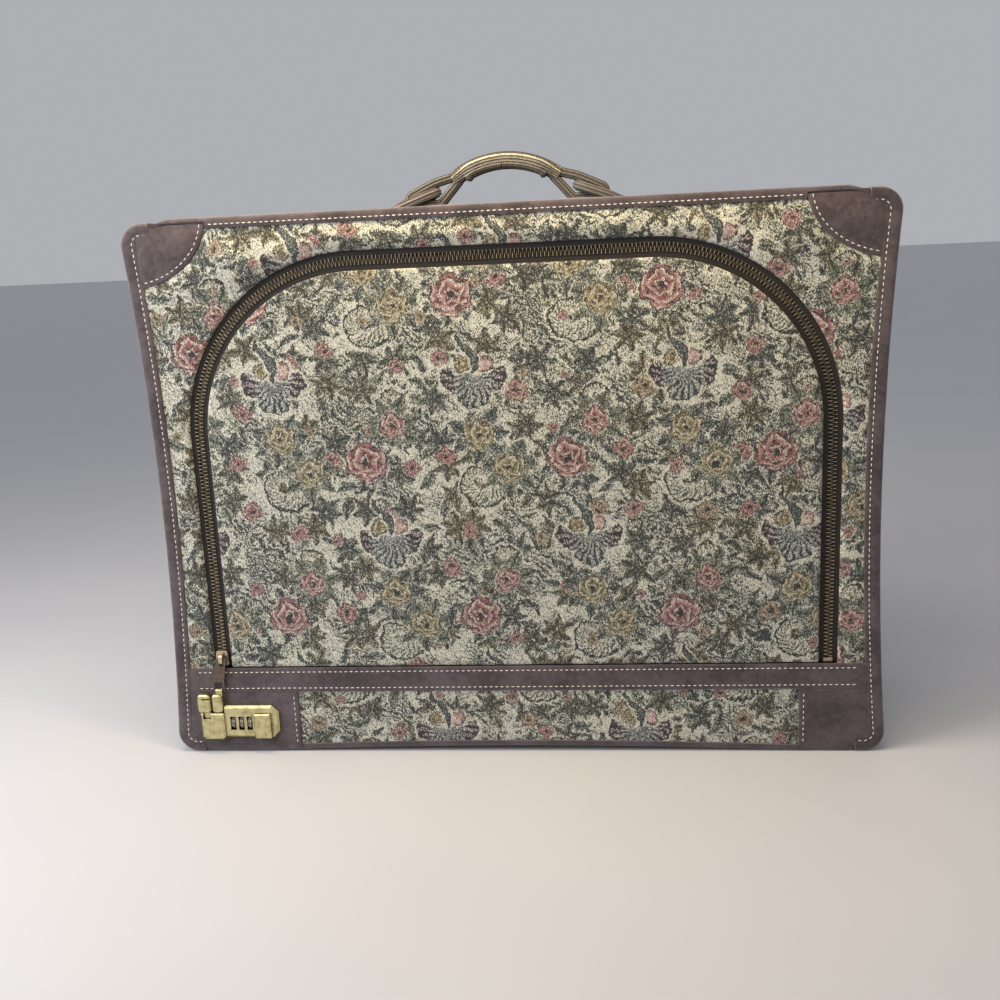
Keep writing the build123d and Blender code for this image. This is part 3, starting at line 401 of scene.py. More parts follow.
class Cloth:
    """What the weave shows at a point: the colour of its coloured threads, and the shares of
    coloured and dark threads. Motifs are painted over it in turn."""

    def __init__(self, graph, place, colour, share):
        self.g = graph
        self.place = place
        self.colour = colour
        self.share = share
        x, y, _ = graph.parts(place)
        self.sheared = graph.join(x - y * lean, y)

    def near(self, at):
        """Vector from the nearest copy of a motif's place."""
        g = self.g
        half = (repeat_width / 2, repeat_height / 2, 1.0)
        moved = g.vector("SUBTRACT", self.sheared, (at[0] - at[1] * lean, at[1], 0.0))
        wrapped = g.vector("WRAP", moved, half, tuple(-v for v in half))
        return g.join(g.dot(wrapped, (1.0, lean, 0.0)), g.parts(wrapped)[1])

    def nearest(self, places):
        """Vector from the nearest of several motifs (x, y, radius), its reach and its number."""
        g = self.g
        number = 0.0
        for index, (x, y, radius) in enumerate(places):
            other = self.near((x, y))
            share = g.length(other) * (1.0 / radius)
            if index == 0:
                best, reach = other, share
                continue
            closer = g.math("LESS_THAN", share, reach)
            best = g.between(closer, best, other)
            number = g.math("MULTIPLY_ADD", closer, g.math("SUBTRACT", float(index), number), number)
            reach = g.min(share, reach)
        return best, reach, number

    def paint(self, mask, colour, cover, dark):
        """Lays a colour, and the shares of coloured and dark threads, over the masked part."""
        g = self.g
        if colour is not None:
            self.colour = g.mix(mask, self.colour, colour)
        self.share = g.mix(mask, self.share, g.join(cover, dark))

    def clear(self, mask, cover=0.10):
        """Thins the ground round a motif."""
        self.paint(mask, None, cover, 0.0)

    def spray(self, at, reach, count, turn, colour):
        """Leaves fanned round a place, each with a cream edge, a vein and side veins."""
        g = self.g
        x, y, _ = g.parts(at)
        a = g.atan2(y, x) + turn
        step = 2 * math.pi / count
        number = g.math("ROUND", a / step)
        across = g.abs(a - number * step) * g.length(at)
        run = g.length(at) / reach
        body = g.sin(run * math.pi) * reach * (0.34 - run * 0.12)
        within = g.ramp(run, 1.0, 0.96) * g.ramp(run, 0.05, 0.1)
        self.clear(g.ramp(across - body, 2.6, 0.4) * within * 0.7, 0.15)
        mask = g.ramp(across - body, 0.6, -0.6) * within
        barb = g.ramp(g.sin(run * reach * 3.4 - across * 2.6), -0.2, 0.9)
        vein = g.ramp(across, 1.0, 0.3)
        dark = g.max(vein * 0.85, barb * 0.6) + 0.06
        self.paint(mask, colour, 0.6, dark)

    def flower(self, at, w, petals, deep, pale, hearts=0.25):
        """Full-blown rose: staggered rings of petals, dark at their roots and pale at their lips."""
        g = self.g
        x, y, _ = g.parts(at)
        a = g.atan2(y, x)
        depth = w * (3.0 - g.sin(a) * 0.8)
        ring = g.floor(depth)
        petal = g.abs(g.sin(a * (petals / 2) + ring * 1.9))
        edge = w * (1.22 - g.sqrt(petal) * 0.3)
        mask = g.ramp(edge, 1.06, 0.95)
        self.clear(g.ramp(edge, 1.32, 1.02) * 0.6, 0.15)
        fold = g.fract(depth + petal * 0.35)
        root = g.ramp(fold, 0.42, 0.08)
        rim = g.ramp(edge, 0.90, 0.96)
        split = g.ramp(petal, 0.22, 0.08) * g.ramp(fold, 0.95, 0.7)
        heart = g.ramp(w, hearts, hearts * 0.6)
        dark = g.max(g.max(root * 0.75, rim * 0.7), g.max(split * 0.5, heart * 0.8))
        colour = g.mix(g.ramp(fold, 0.3, 0.9), deep, pale)
        self.paint(mask, colour, 0.85 - g.ramp(fold, 0.5, 1.0) * 0.45, dark)

    def iris(self, at, size):
        """Tall flower: striped falls below, two curled petals above and a leaning plume."""
        g = self.g
        v = self.near(at)
        r = g.length(v)
        x, y, _ = g.parts(v)
        a = g.atan2(y, x)
        droop = g.abs(g.cos((a + math.pi / 2) * 2.0))
        reach = g.sqrt(droop) * (size * 0.42) + size * 0.68
        side = g.abs(x)
        below = g.ramp(y - side * 0.28, 2.0, 0.0)
        self.clear(g.ramp(r - reach, 8.0, 1.0) * g.ramp(y - side * 0.28, 7.0, 2.0) * 0.8)
        mask = g.ramp(r - reach, 0.8, -0.5) * below
        stripe = g.ramp(g.sin(a * 23.0 + g.sin(r * 0.35)), -0.2, 0.7)
        rim = g.ramp(reach - r, 1.5, 0.7)
        dark = g.max(stripe * 0.75, rim * 0.8) * g.ramp(r, 1.0, 6.0)
        tint = g.mix(g.ramp(side, size * 0.5, size * 0.85), rgb(0.19, 0.21, 0.22), plum)
        self.paint(mask, tint, 0.6, dark)
        curl = g.length(g.join(side - size * 0.38, y - size * 0.40))
        self.clear(g.ramp(curl, size * 0.46, size * 0.30) * 0.8)
        mask = g.ramp(curl, size * 0.29, size * 0.27)
        ring = g.ramp(g.sin(curl * (30.0 / size) + a * 2.0), 0.1, 0.7)
        rim = g.ramp(curl, size * 0.22, size * 0.26)
        tint = g.mix(g.ramp(x, -3.0, 3.0), ochre, blush)
        self.paint(mask, tint, 0.6, g.max(ring * 0.4, rim * 0.85))
        bow = g.ramp(y, size * 0.5, size * 1.3)
        stem = g.abs(x + bow * bow * (size * 0.55) - g.sin(y * (6.0 / size)))
        blade = g.sin(y * (math.pi / (size * 1.5))) * (size * 0.16)
        tall = g.ramp(y, 0.0, 1.0) * g.ramp(y, size * 1.5, size * 1.45)
        self.clear(g.ramp(stem - blade, 4.0, 0.6) * tall * 0.8)
        mask = g.ramp(stem - blade, 0.4, -0.2) * tall
        rim = g.ramp(blade - stem, 1.2, 0.5)
        self.paint(mask, slate, 0.7, g.max(rim, g.ramp(g.sin(stem * 3.2), 0.2, 0.8) * 0.6))

    def scroll(self, at, radius, turn, hand, colour):
        """Curling acanthus frond: a spiral arm of feathered strokes with a dark spine."""
        g = self.g
        x0, y0, _ = g.parts(self.near(at))
        c, s = math.cos(math.radians(turn)), math.sin(math.radians(turn))
        x = x0 * c + y0 * s
        y = (y0 * c - x0 * s) * hand
        r = g.length(g.join(x, y))
        a = g.atan2(y, x)
        grow = (a + math.pi) * (1 / (2 * math.pi))
        arm = grow * (radius * 0.75) + radius * 0.35
        width = grow * (radius * 0.32) + radius * 0.13
        off = r - arm
        depth = g.abs(off)
        self.clear(g.ramp(depth - width, 5.0, 0.5) * 0.8)
        mask = g.ramp(depth - width, 0.8, -0.5)
        feather = g.sin(a * (radius * 1.1) + off * 1.3)
        barb = g.ramp(feather, -0.1, 0.8)
        spine = g.ramp(g.abs(off - width * 0.75), 1.2, 0.4)
        dark = g.max(barb * 0.45, spine * 0.9)
        self.paint(mask, colour, 0.35, dark)


def scattered(cloth, spacing, shift):
    """Random motif places, one to a cell: the vector from the nearest and three random numbers."""
    g = cloth.g
    moved = g.vector("ADD", cloth.place, shift)
    _, tint, centre = g.cells(moved, 1.0 / spacing, 0.8)
    return g.vector("SUBTRACT", moved, centre), g.parts(tint)


def scattered_leaves(cloth, spacing, shift, length, width, colour_a, colour_b, amount):
    """Single leaves of the ground, one to a cell, each at its own angle."""
    g = cloth.g
    v, (red, green, blue) = scattered(cloth, spacing, shift)
    turned = g.node("ShaderNodeVectorRotate", rotation_type="Z_AXIS")
    g.feed(turned.inputs["Vector"], v)
    g.feed(turned.inputs["Angle"], red * (2 * math.pi))
    along, across, _ = g.parts(Value(g, turned.outputs[0]))
    run = along / length
    body = (1.0 - run * run) * width * (green * 0.6 + 0.6)
    off = g.abs(across - along * along * 0.02)
    shown = g.ramp(blue, 1.0 - amount, 1.0 - amount + 0.05)
    cloth.clear(g.ramp(off - body, 2.6, 0.4) * shown * g.ramp(body, -1.5, -0.5) * 0.6, 0.15)
    mask = g.ramp(off - body, 0.6, -0.6) * shown
    vein = g.ramp(off, 1.0, 0.3)
    barb = g.ramp(g.sin(along * 3.0 + off * 2.4), -0.2, 0.9)
    dark = g.max(vein * 0.8, barb * 0.55) + 0.05
    cloth.paint(mask, g.mix(green, colour_a, colour_b), 0.55, dark)


def tapestry_group():
    """Node group: the tapestry's colour and relief at a place on the cloth, in millimetres."""
    tree = bpy.data.node_groups.new("tapestry_weave", "ShaderNodeTree")
    tree.interface.new_socket("Place", in_out="INPUT", socket_type="NodeSocketVector")
    tree.interface.new_socket("Colour", in_out="OUTPUT", socket_type="NodeSocketColor")
    tree.interface.new_socket("Height", in_out="OUTPUT", socket_type="NodeSocketFloat")
    g = Graph(tree)
    place = Value(g, g.node("NodeGroupInput").outputs[0])

    # Threads
    size = (thread_width, thread_length, 1.0)
    column = g.parts(g.vector("FLOOR", g.vector("DIVIDE", place, size)))[0]
    stagger = g.random(g.join(column, 0.5))[0] * thread_length
    in_threads = g.vector("DIVIDE", g.vector("ADD", place, g.join(0.0, stagger)), size)
    pick, tints = g.random(g.vector("FLOOR", in_threads))
    lift, spread, jitter = g.parts(tints)

    # Drawing coordinates: pulled about by the weave and by a slow wander of the lines
    wander = g.vector("SUBTRACT", g.noise(place, 0.09, 4.0, 0.7)[1], (0.5, 0.5, 0.5))
    ragged = g.join((spread - 0.5) * 0.7, (jitter - 0.5) * 1.2)
    drawn = g.vector("ADD", g.vector("MULTIPLY_ADD", wander, (14.0, 14.0, 0.0), place), ragged)

    # Ground: flowing strokes of sage and slate in clouds on cream
    x, y, _ = g.parts(drawn)
    cloud, clouds = g.noise(drawn, 0.032, 2.0, 0.5)
    tone = g.ramp(g.parts(clouds)[1], 0.36, 0.62)
    hatch = g.ramp(g.sin(x * 0.7 + y * 1.3 + cloud * 60.0), -0.5, 0.9)
    hue = g.mix(g.ramp(g.parts(clouds)[2], 0.42, 0.58), sage, slate)
    cloth = Cloth(g, drawn, hue, g.join(tone * 0.30 + 0.18, hatch * (tone * 0.38 + 0.24)))
    scattered_leaves(cloth, 21.0, (31.0, 7.0, 0.0), 12.0, 4.6, slate, sage, 0.85)
    v, (red, green, blue) = scattered(cloth, 31.0, (5.0, 53.0, 0.0))
    cloth.spray(v, 15.0, 6, red * 3.0, g.mix(green, slate, olive))

    # Fronds
    cloth.scroll((2, -88), 19.0, 205, 1, sage)
    cloth.scroll((96, -20), 14.0, 30, -1, olive)

    # Small flowers scattered, then the large ones with their leaves
    v, (red, green, blue) = scattered(cloth, 47.0, (12.0, 21.0, 0.0))
    tint = g.mix(g.ramp(red, 0.6, 0.65), rose, ochre)
    cloth.flower(v, g.length(v) / (green * 5.0 + 4.0), 5, tint, g.mix(0.5, tint, blush), 0.3)
    blooms = [(-16, 65, 16.5), (2, -48, 12.5), (-64, 58, 12.5), (8, 96, 10.5)]
    v, w, number = cloth.nearest(blooms)
    cloth.spray(v, 27.0, 7, number * 0.8, g.mix(g.ramp(number, 0.5, 2.5), slate, sage))
    deep = g.steps(number, 4, [rose, ochre, ochre, rose])
    pale = g.steps(number, 4, [blush, straw, straw, blush])
    cloth.flower(v, w, 5, deep, pale)
    cloth.iris((0, 0), 24.0)

    # Each cell takes the thread that the shares give it
    part, dark, _ = g.parts(cloth.share)
    bar = pick * 0.62 + 0.15
    is_dark = g.ramp(dark - bar, -0.17, 0.17)
    is_colour = g.ramp(dark + part - bar, -0.20, 0.20)
    colour = g.mix(is_dark, g.mix(is_colour, cream, cloth.colour), shade)
    colour = g.mix(1.0, colour, g.mix(lift, rgb(0.62, 0.62, 0.62), rgb(1.22, 1.20, 1.15)), "MULTIPLY")

    # Relief: rounded threads, the light ones standing higher
    across = g.vector("SUBTRACT", g.vector("FRACTION", in_threads), (0.5, 0.5, 0.0))
    rounded = 1.0 - g.dot(across, across) * 1.6
    outputs = g.node("NodeGroupOutput")
    g.feed(outputs.inputs["Colour"], colour)
    g.feed(outputs.inputs["Height"], rounded * (lift * 0.5 + 0.5) + pick * 0.6)
    return tree


weave = tapestry_group()


def tapestry_material(name, across, shift, over_top=0.0):
    """Tapestry laid on a face: across is the row axis that runs along it, shift moves the pattern,
    a negative across mirrors it for a face seen from behind, and over_top carries it over a corner."""
    material, g, shader, place = new_material(name)
    axes = g.parts(place)
    u = axes[abs(across) - 1] * math.copysign(1.0, across)
    v = axes[2] - g.abs(axes[0]) * over_top
    group = g.node("ShaderNodeGroup", node_tree=weave)
    g.feed(group.inputs[0], g.join(u + shift[0], v + shift[1]))
    set_shader(shader, Roughness=0.92, Specular_IOR_Level=0.25, Sheen_Weight=0.15, Sheen_Roughness=0.6)
    g.feed(shader.inputs["Base Color"], group.outputs["Colour"])
    bump(g, shader, group.outputs["Height"], 0.30, 0.8)
    return material


suede = suede_material()
thread = thread_material()
tape = tape_material()
brass = metal_material("lock_brass", rgb(0.66, 0.60, 0.34), rgb(0.30, 0.26, 0.13), 0.30, 0.18)
zip_brass = metal_material("zip_brass", rgb(0.62, 0.52, 0.38), rgb(0.24, 0.19, 0.135), 0.30, 0.14)
bronze = metal_material("dark_bronze", rgb(0.17, 0.13, 0.10), rgb(0.07, 0.055, 0.045), 0.32, 0.12)
steel = metal_material("steel", rgb(0.60, 0.60, 0.61), rgb(0.40, 0.40, 0.41), 0.30, 0.06)
dial_metal = metal_material("dial", rgb(0.11, 0.095, 0.07), rgb(0.04, 0.034, 0.025), 0.42, 0.12)
numeral = plain_material("numeral", rgb(0.62, 0.59, 0.50), rgb(0.48, 0.45, 0.37), 1.0, 0.6, 0.05)
board = plain_material("board", rgb(0.38, 0.27, 0.16), rgb(0.28, 0.19, 0.11), 0.05, 0.9, 0.1)
lining_cloth = lining_material()
handle_cover = rib_material()
lid_tapestry = tapestry_material("tapestry_lid", 1, (91.0, 74.0))
border_tapestry = tapestry_material("tapestry_border", 1, (64.0, -21.0))
back_tapestry = tapestry_material("tapestry_back", -1, (20.0, 10.0))
side_tapestry = tapestry_material("tapestry_side", 2, (90.0, 340.0), over_top=1.0)


# Meshes: where a panel's points lie near its edge, and how wide its grid is
edge_rings = (0.7, 1.6, 3.0)
row_share = 0.87
ring_clearance = 0.93
grid_clearance = 0.45
up = Vector((0, 0, 1))
back = Vector((0, 1, 0))


def make_piece(name, shape, material, replaced=(), body="root", sharp=45, ribs=None):
    """A mesh from points in millimetres and faces, which are turned outward, riding on a body."""
    points, faces = shape
    mesh = bpy.data.meshes.new(name)
    mesh.from_pydata((np.array(points, float) * MM).tolist(), [], [list(f) for f in faces])
    if ribs is not None:
        mesh.attributes.new("rib", "FLOAT", "CORNER").data.foreach_set("value", ribs)
    volume = 0.0
    mesh.calc_loop_triangles()
    for triangle in mesh.loop_triangles:
        a, b, c = (mesh.vertices[i].co for i in triangle.vertices)
        volume += a.dot(b.cross(c))
    if volume < 0:
        mesh.flip_normals()
    mesh.polygons.foreach_set("use_smooth", [True] * len(mesh.polygons))
    mesh.set_sharp_from_angle(angle=math.radians(sharp))
    mesh.materials.append(material)
    piece = bpy.data.objects.new(name, mesh)
    scene.collection.objects.link(piece)
    if body:
        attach(piece, body)
    if replaced:
        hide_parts(*replaced)
    return piece


def wander(x, y, z, size):
    """Smooth noise about 0 at a point, with features of a size in millimetres."""
    return noise.noise(Vector((x / size, y / size, z / size)))


def ease(t):
    """0 to 1, smooth at both ends."""
    t = min(1.0, max(0.0, t))
    return t * t * (3 - 2 * t)


def divide(loop, step):
    """A closed loop with its long edges divided."""
    points = []
    for (x0, y0), (x1, y1) in zip(loop, loop[1:] + loop[:1]):
        count = max(1, round(math.hypot(x1 - x0, y1 - y0) / step))
        points += [(x0 + (x1 - x0) * i / count, y0 + (y1 - y0) * i / count) for i in range(count)]
    return points


def distance_to(points, loop):
    """Distance from each point to the loop."""
    best = np.full(len(points), np.inf)
    ends = np.array(loop)
    for start, end in zip(ends, np.roll(ends, -1, axis=0)):
        edge = end - start
        along = np.clip((points - start) @ edge / max(edge @ edge, 1e-9), 0, 1)
        gap = points - start - along[:, None] * edge
        best = np.minimum(best, np.hypot(gap[:, 0], gap[:, 1]))
    return best


def within(points, loop):
    """Whether each point is inside a closed loop."""
    x, y = points[:, 0], points[:, 1]
    hit = np.zeros(len(points), bool)
    for (x0, y0), (x1, y1) in zip(loop, loop[1:] + loop[:1]):
        if y0 != y1:
            crosses = (y0 > y) != (y1 > y)
            hit ^= crosses & (x < (x1 - x0) * (y - y0) / (y1 - y0) + x0)
    return hit


def triangulate(loop, extra):
    """Triangles over a loop and extra points inside it."""
    points = loop + extra
    edges = [(i, (i + 1) % len(loop)) for i in range(len(loop))]
    made = delaunay_2d_cdt([Vector(p) for p in points], edges, [], 0, 1e-5)
    origins = made[3]
    faces = []
    for face in made[2]:
        corners = [origins[i][0] for i in face if origins[i]]
        if len(corners) == 3:
            faces.append(corners)
    flat = np.array(points)
    keep = within(flat[np.array(faces)].mean(axis=1), loop)
    kept = []
    for face, good in zip(faces, keep):
        if good:
            a, b, c = (flat[i] for i in face)
            turn = (b[0] - a[0]) * (c[1] - a[1]) - (b[1] - a[1]) * (c[0] - a[0])
            kept.append(face if turn > 0 else face[::-1])
    return points, kept


def panel(name, outline, place, relief, depth, material, replaced=(), body="root", spacing=4.0):
    """Padded panel over a flat region. place(u, v, out) gives a point, relief(u, v, d) how far
    the face stands out at a distance d from the edge, and depth is where its flat back lies."""
    loop = divide(outline, spacing)
    ends = np.array(loop)
    tangent = np.roll(ends, -1, axis=0) - np.roll(ends, 1, axis=0)
    normal = np.stack([-tangent[:, 1], tangent[:, 0]], axis=1)
    normal /= np.maximum(np.hypot(normal[:, 0], normal[:, 1]), 1e-9)[:, None]
    inner = []
    for inset in edge_rings:
        for hand in (-1, 1):
            ring = ends + normal * inset * hand
            inner.append(ring[within(ring, loop) & (distance_to(ring, loop) > inset * ring_clearance)])
    (u0, v0), (u1, v1) = ends.min(axis=0), ends.max(axis=0)
    rows = int((v1 - v0) / (spacing * row_share)) + 1
    columns = int((u1 - u0) / spacing) + 1
    grid = np.array([
        (u0 + (i + 0.5 * (j % 2)) * spacing, v0 + j * spacing * row_share)
        for j in range(rows + 1) for i in range(columns + 1)
    ])
    margin = edge_rings[-1] + spacing * grid_clearance
    inner.append(grid[within(grid, loop) & (distance_to(grid, loop) > margin)])
    points, faces = triangulate(loop, np.concatenate(inner).tolist())
    depths = distance_to(np.array(points), loop)
    depths[:len(loop)] = 0.0
    verts = [place(u, v, relief(u, v, d)) for (u, v), d in zip(points, depths)]
    flat_points, flat_faces = triangulate(loop, [])
    first = len(verts)
    verts += [place(u, v, depth) for u, v in flat_points]
    faces += [tuple(first + i for i in reversed(face)) for face in flat_faces]
    count = len(loop)
    faces += [(i, first + i, first + (i + 1) % count, (i + 1) % count) for i in range(count)]
    return make_piece(name, (verts, faces), material, replaced, body)


def sweep(stations, profile, closed=False):
    """Points and faces of a closed profile carried along stations (place, out, across)."""
    verts, faces = [], []
    for index, (place, out, across) in enumerate(stations):
        shape = profile(index) if callable(profile) else profile
        verts += [tuple(place + out * a + across * b) for a, b in shape]
    count = len(stations)
    size = len(verts) // count
    for i in range(count if closed else count - 1):
        j = (i + 1) % count
        for k in range(size):
            m = (k + 1) % size
            faces.append((i * size + k, i * size + m, j * size + m, j * size + k))
    if not closed:
        faces.append(tuple(range(size))[::-1])
        faces.append(tuple((count - 1) * size + k for k in range(size)))
    return verts, faces


def joined(parts):
    """One list of points and faces from several."""
    verts, faces = [], []
    for more_verts, more_faces in parts:
        first = len(verts)
        verts += more_verts
        faces += [tuple(first + i for i in face) for face in more_faces]
    return verts, faces


def arc(cx, cy, radius, start, end, step=5.0):
    """Points along an arc, by angles in degrees."""
    count = max(2, round(abs(math.radians(end - start)) * radius / step))
    angles = [math.radians(start + (end - start) * i / count) for i in range(count + 1)]
    return [(cx + radius * math.cos(a), cy + radius * math.sin(a)) for a in angles]


# The case's outline
corner_step = 2.5
side_radius = (half_height ** 2 + waist_draw_in ** 2) / (2 * waist_draw_in)
side_center_x = half_corner - waist_draw_in + side_radius
fillet_z = cover_top - corner_radius
fillet_rise = fillet_z - waist_z
fillet_x = side_center_x - math.sqrt((side_radius + corner_radius) ** 2 - fillet_rise ** 2)
side_angle = math.asin(fillet_rise / (side_radius + corner_radius))
arch_radius = (bottom_flat_x ** 2 + bottom_arch ** 2) / (2 * bottom_arch)


def base_at(x):
    """Height of the case's underside, which arches between its flats."""
    if abs(x) >= bottom_flat_x:
        return base_z
    return base_z + bottom_arch - arch_radius + math.sqrt(arch_radius ** 2 - x * x)


def side_path(start_x=0.0, step=4.0):
    """Right-hand half of the case's outline, top to bottom, as (x, z, normal x, normal z)."""
    run = fillet_x - start_x
    count = max(2, round(run / step))
    flat = [(start_x + run * i / count, cover_top, 0.0, 1.0) for i in range(count)]
    turn = math.pi / 2 + side_angle
    steps = max(6, round(turn * corner_radius / corner_step))
    corner = []
    for i in range(steps + 1):
        a = math.pi / 2 - turn * i / steps
        nx, nz = math.cos(a), math.sin(a)
        corner.append((fillet_x + corner_radius * nx, fillet_z + corner_radius * nz, nx, nz))
    steps = round(2 * side_angle * side_radius / step)
    side = []
    for i in range(1, steps):
        a = side_angle - 2 * side_angle * i / steps
        nx, nz = math.cos(a), math.sin(a)
        side.append((side_center_x - side_radius * nx, waist_z + side_radius * nz, nx, -nz))
    low_corner = [(x, 2 * waist_z - z, nx, -nz) for x, z, nx, nz in reversed(corner)]
    under = [(x, base_at(x), 0.0, -1.0) for x, _, _, _ in reversed(flat)]
    return flat + corner + side + low_corner + under


def side_stations(side, start_x, step):
    """Stations down one side of the case, for a sweep."""
    return [(Vector((side * x, 0, z)), Vector((side * nx, 0, nz)), back)
            for x, z, nx, nz in side_path(start_x, step)]


def case_loop(inset, top, bottom):
    """Closed outline of the case moved in by inset, kept between two heights."""
    shortest = 0.3
    right = [(x - nx * inset, z - nz * inset) for x, z, nx, nz in side_path()]
    right = [(x, min(max(z, bottom), top)) for x, z in right if x > 0]
    spaced = [right[0]]
    for x, z in right[1:]:
        if math.hypot(x - spaced[-1][0], z - spaced[-1][1]) > shortest:
            spaced.append((x, z))
    return [(-x, z) for x, z in reversed(spaced)] + spaced


def zip_loop(grow, bottom):
    """Closed horseshoe inside the zip line, grown outward."""
    half = zip_half_width + grow
    radius = zip_corner_radius + grow
    left = arc(-arc_center_x, arc_center_z, radius, 180, 90)
    right = arc(arc_center_x, arc_center_z, radius, 90, 0)
    return [(-half, bottom), *left, *right, (half, bottom)]


# The zip line, by distance from the left end of the hinge
leg_length = arc_center_z - band_top
arc_length = math.pi / 2 * zip_corner_radius
zip_length = 2 * leg_length + 2 * arc_length + 2 * arc_center_x
zip_y = (low("zip_tape_body").y + high("zip_tape_body").y) / 2


def zip_station(run):
    """(place, outward normal, direction of travel) on the zip line."""
    if run > zip_length / 2:
        place, out, way = zip_station(zip_length - run)
        return (Vector((-place.x, place.y, place.z)), Vector((-out.x, 0, out.z)),
                Vector((way.x, 0, -way.z)))
    if run < leg_length:
        return Vector((-zip_half_width, zip_y, band_top + run)), Vector((-1, 0, 0)), up
    if run < leg_length + arc_length:
        angle = math.pi - (run - leg_length) / zip_corner_radius
        out = Vector((math.cos(angle), 0, math.sin(angle)))
        place = Vector((-arc_center_x, zip_y, arc_center_z)) + out * zip_corner_radius
        return place, out, Vector((out.z, 0, -out.x))
    x = -arc_center_x + run - leg_length - arc_length
    return Vector((x, zip_y, zip_top)), up, Vector((1, 0, 0))


def zip_distance(u, v):
    """Distance from a point of the front to the zip line."""
    x = abs(u)
    if v > arc_center_z and x > arc_center_x:
        return abs(math.hypot(x - arc_center_x, v - arc_center_z) - zip_corner_radius)
    if x > arc_center_x:
        return abs(x - zip_half_width)
    return abs(v - zip_top)


# Places on the front and the back
def on_front(u, v, out):
    return (u, front_y - out, v)


def on_back(u, v, out):
    return (-u, back_y + out, v)


# How far faces stand out, at a distance d from their edge
def roll(d, radius, height):
    """Quarter-round edge."""
    t = min(1.0, d / radius)
    return height * (math.sqrt(max(0.0, 1 - (1 - t) ** 2)) - 1)


def pucker(u, v, strength, reach):
    """Small gathers across the zip's seam."""
    near = math.exp(-zip_distance(u, v) / reach)
    return strength * near * (wander(u, 3.0, v, 9.0) + 0.6 * wander(u, 9.0, v, 5.0))


def lid_relief(u, v, d):
    """Soft crown with slow waves."""
    body = 1.6 * ease(d / 70) + 1.1 * wander(u, 0, v, 62) * ease(d / 40) + 0.35 * wander(u, 5, v, 21)
    return 1.0 + roll(d, 3.0, 2.6) + body + pucker(u, v, 0.9, 14)


def near_pad(u, v):
    """1 under a top corner's suede patch, falling to 0 a little way outside."""
    reach = math.hypot((half_corner - abs(u)) / corner_pad_length, (case_top - v) / corner_pad_height)
    return ease((1.12 - reach) / 0.14)


def border_relief(u, v, d):
    """Padding that is full and lumpy under the top flap, and free of the corner patches."""
    top = ease((v - 395) / 35)
    fall = ease((v - 434) / 26)
    body = (0.5 + 4.4 * top - 4.2 * fall) * ease(d / 12) + 0.9 * wander(u, 2, v, 48) * ease(d / 20)
    lumps = top * (2.6 * wander(u, 7, v, 23) + 1.3 * wander(u, 11, v, 10)) * ease(d / 10) * (1 - 0.7 * fall)
    return 0.2 + roll(d, 2.6, 2.2) + (body + lumps) * (1 - near_pad(u, v)) + pucker(u, v, 1.1, 10)


def flat_relief(u, v, d):
    """Thin cloth on a board."""
    return 0.5 * ease(d / 15) + 0.7 * wander(u, 4, v, 55) * ease(d / 20) + 0.2 * wander(u, 1, v, 14)


def pad_relief(u, v, d):
    """Flat suede patch."""
    level = front_y - pad_front_y
    return level + 0.3 + roll(d, 1.3, 1.0) + 0.35 * wander(u, 6, v, 28) * ease(d / 8)


def corner_relief(u, v, d):
    """Puffed patch on a top corner, tucked under the binding and the flap."""
    dome = 3.2 * ease(d / 24)
    soft = 0.8 * wander(u, 6, v, 34) + 0.3 * wander(u, 6, v, 13)
    to_binding = half_corner - abs(u) - binding_width + 1.0
    to_top = cover_top - v
    tucked = math.sqrt(max(0.0, min(1.0, to_binding / 7)) * min(1.0, max(0.0, to_top / 9)))
    return 0.8 + (0.9 + roll(d, 1.5, 1.4) + dome + soft * ease(d / 10)) * tucked


# Tapestry panels, each tucked a few millimetres under the trim round it
tuck = 6.0
panel_inset = 2.0
lower_step = 6.0
panel_depth = -3.9
border_foot_z = band_top - 4
front_loop = case_loop(panel_inset, cover_top - 0.5, border_foot_z)
hole_side = zip_half_width + zip_reveal
hole_arc = zip_loop(zip_reveal, border_foot_z)[1:-1]
hole_feet = (hole_side, front_loop[-1][1]), (-hole_side, front_loop[0][1])
border_outline = [*front_loop, hole_feet[0], *reversed(hole_arc), hole_feet[1]]
panel("border_tapestry", border_outline, on_front, border_relief, panel_depth, border_tapestry,
      ["front_border"])
panel("lid_tapestry", zip_loop(-zip_reveal, lid_bottom), on_front, lid_relief, panel_depth, lid_tapestry,
      ["lid_panel"], "lid", spacing=4.2)
lower_loop = divide([
    (lock_pad_inner_x - tuck, band_bottom + 3), (lock_pad_inner_x - tuck, base_z + 1),
    *[(x, base_at(x) + 0.5) for x in np.arange(lock_pad_inner_x, right_pad_inner_x, 12.0)],
    (right_pad_inner_x + tuck, base_z + 1), (right_pad_inner_x + tuck, band_bottom + 3)], lower_step)
panel("lower_tapestry", lower_loop, on_front, flat_relief, panel_depth, border_tapestry,
      ["lower_front_panel"], spacing=5.0)
panel("back_tapestry", case_loop(panel_inset, cover_top - 0.5, base_z + 1), on_back, flat_relief, panel_depth,
      back_tapestry, ["back_panel"], spacing=7.0)

# Side covers: tapestry round the hoop's sides and corners
cover_ys = np.linspace(face_back_y - 1.0, back_face_y + 1.0, 34)
cover_inner, cover_outer = -1.6, -0.4


def cover_profile(place):
    """Section through a side cover: flat inside, a little uneven outside."""
    section = [(cover_inner, y) for y in cover_ys[::-1]]
    for y in cover_ys:
        puff = 0.5 * wander(place.x, y, place.z, 55) + 0.2 * wander(place.x, y, place.z, 17)
        section.append((cover_outer + puff, y))
    return section


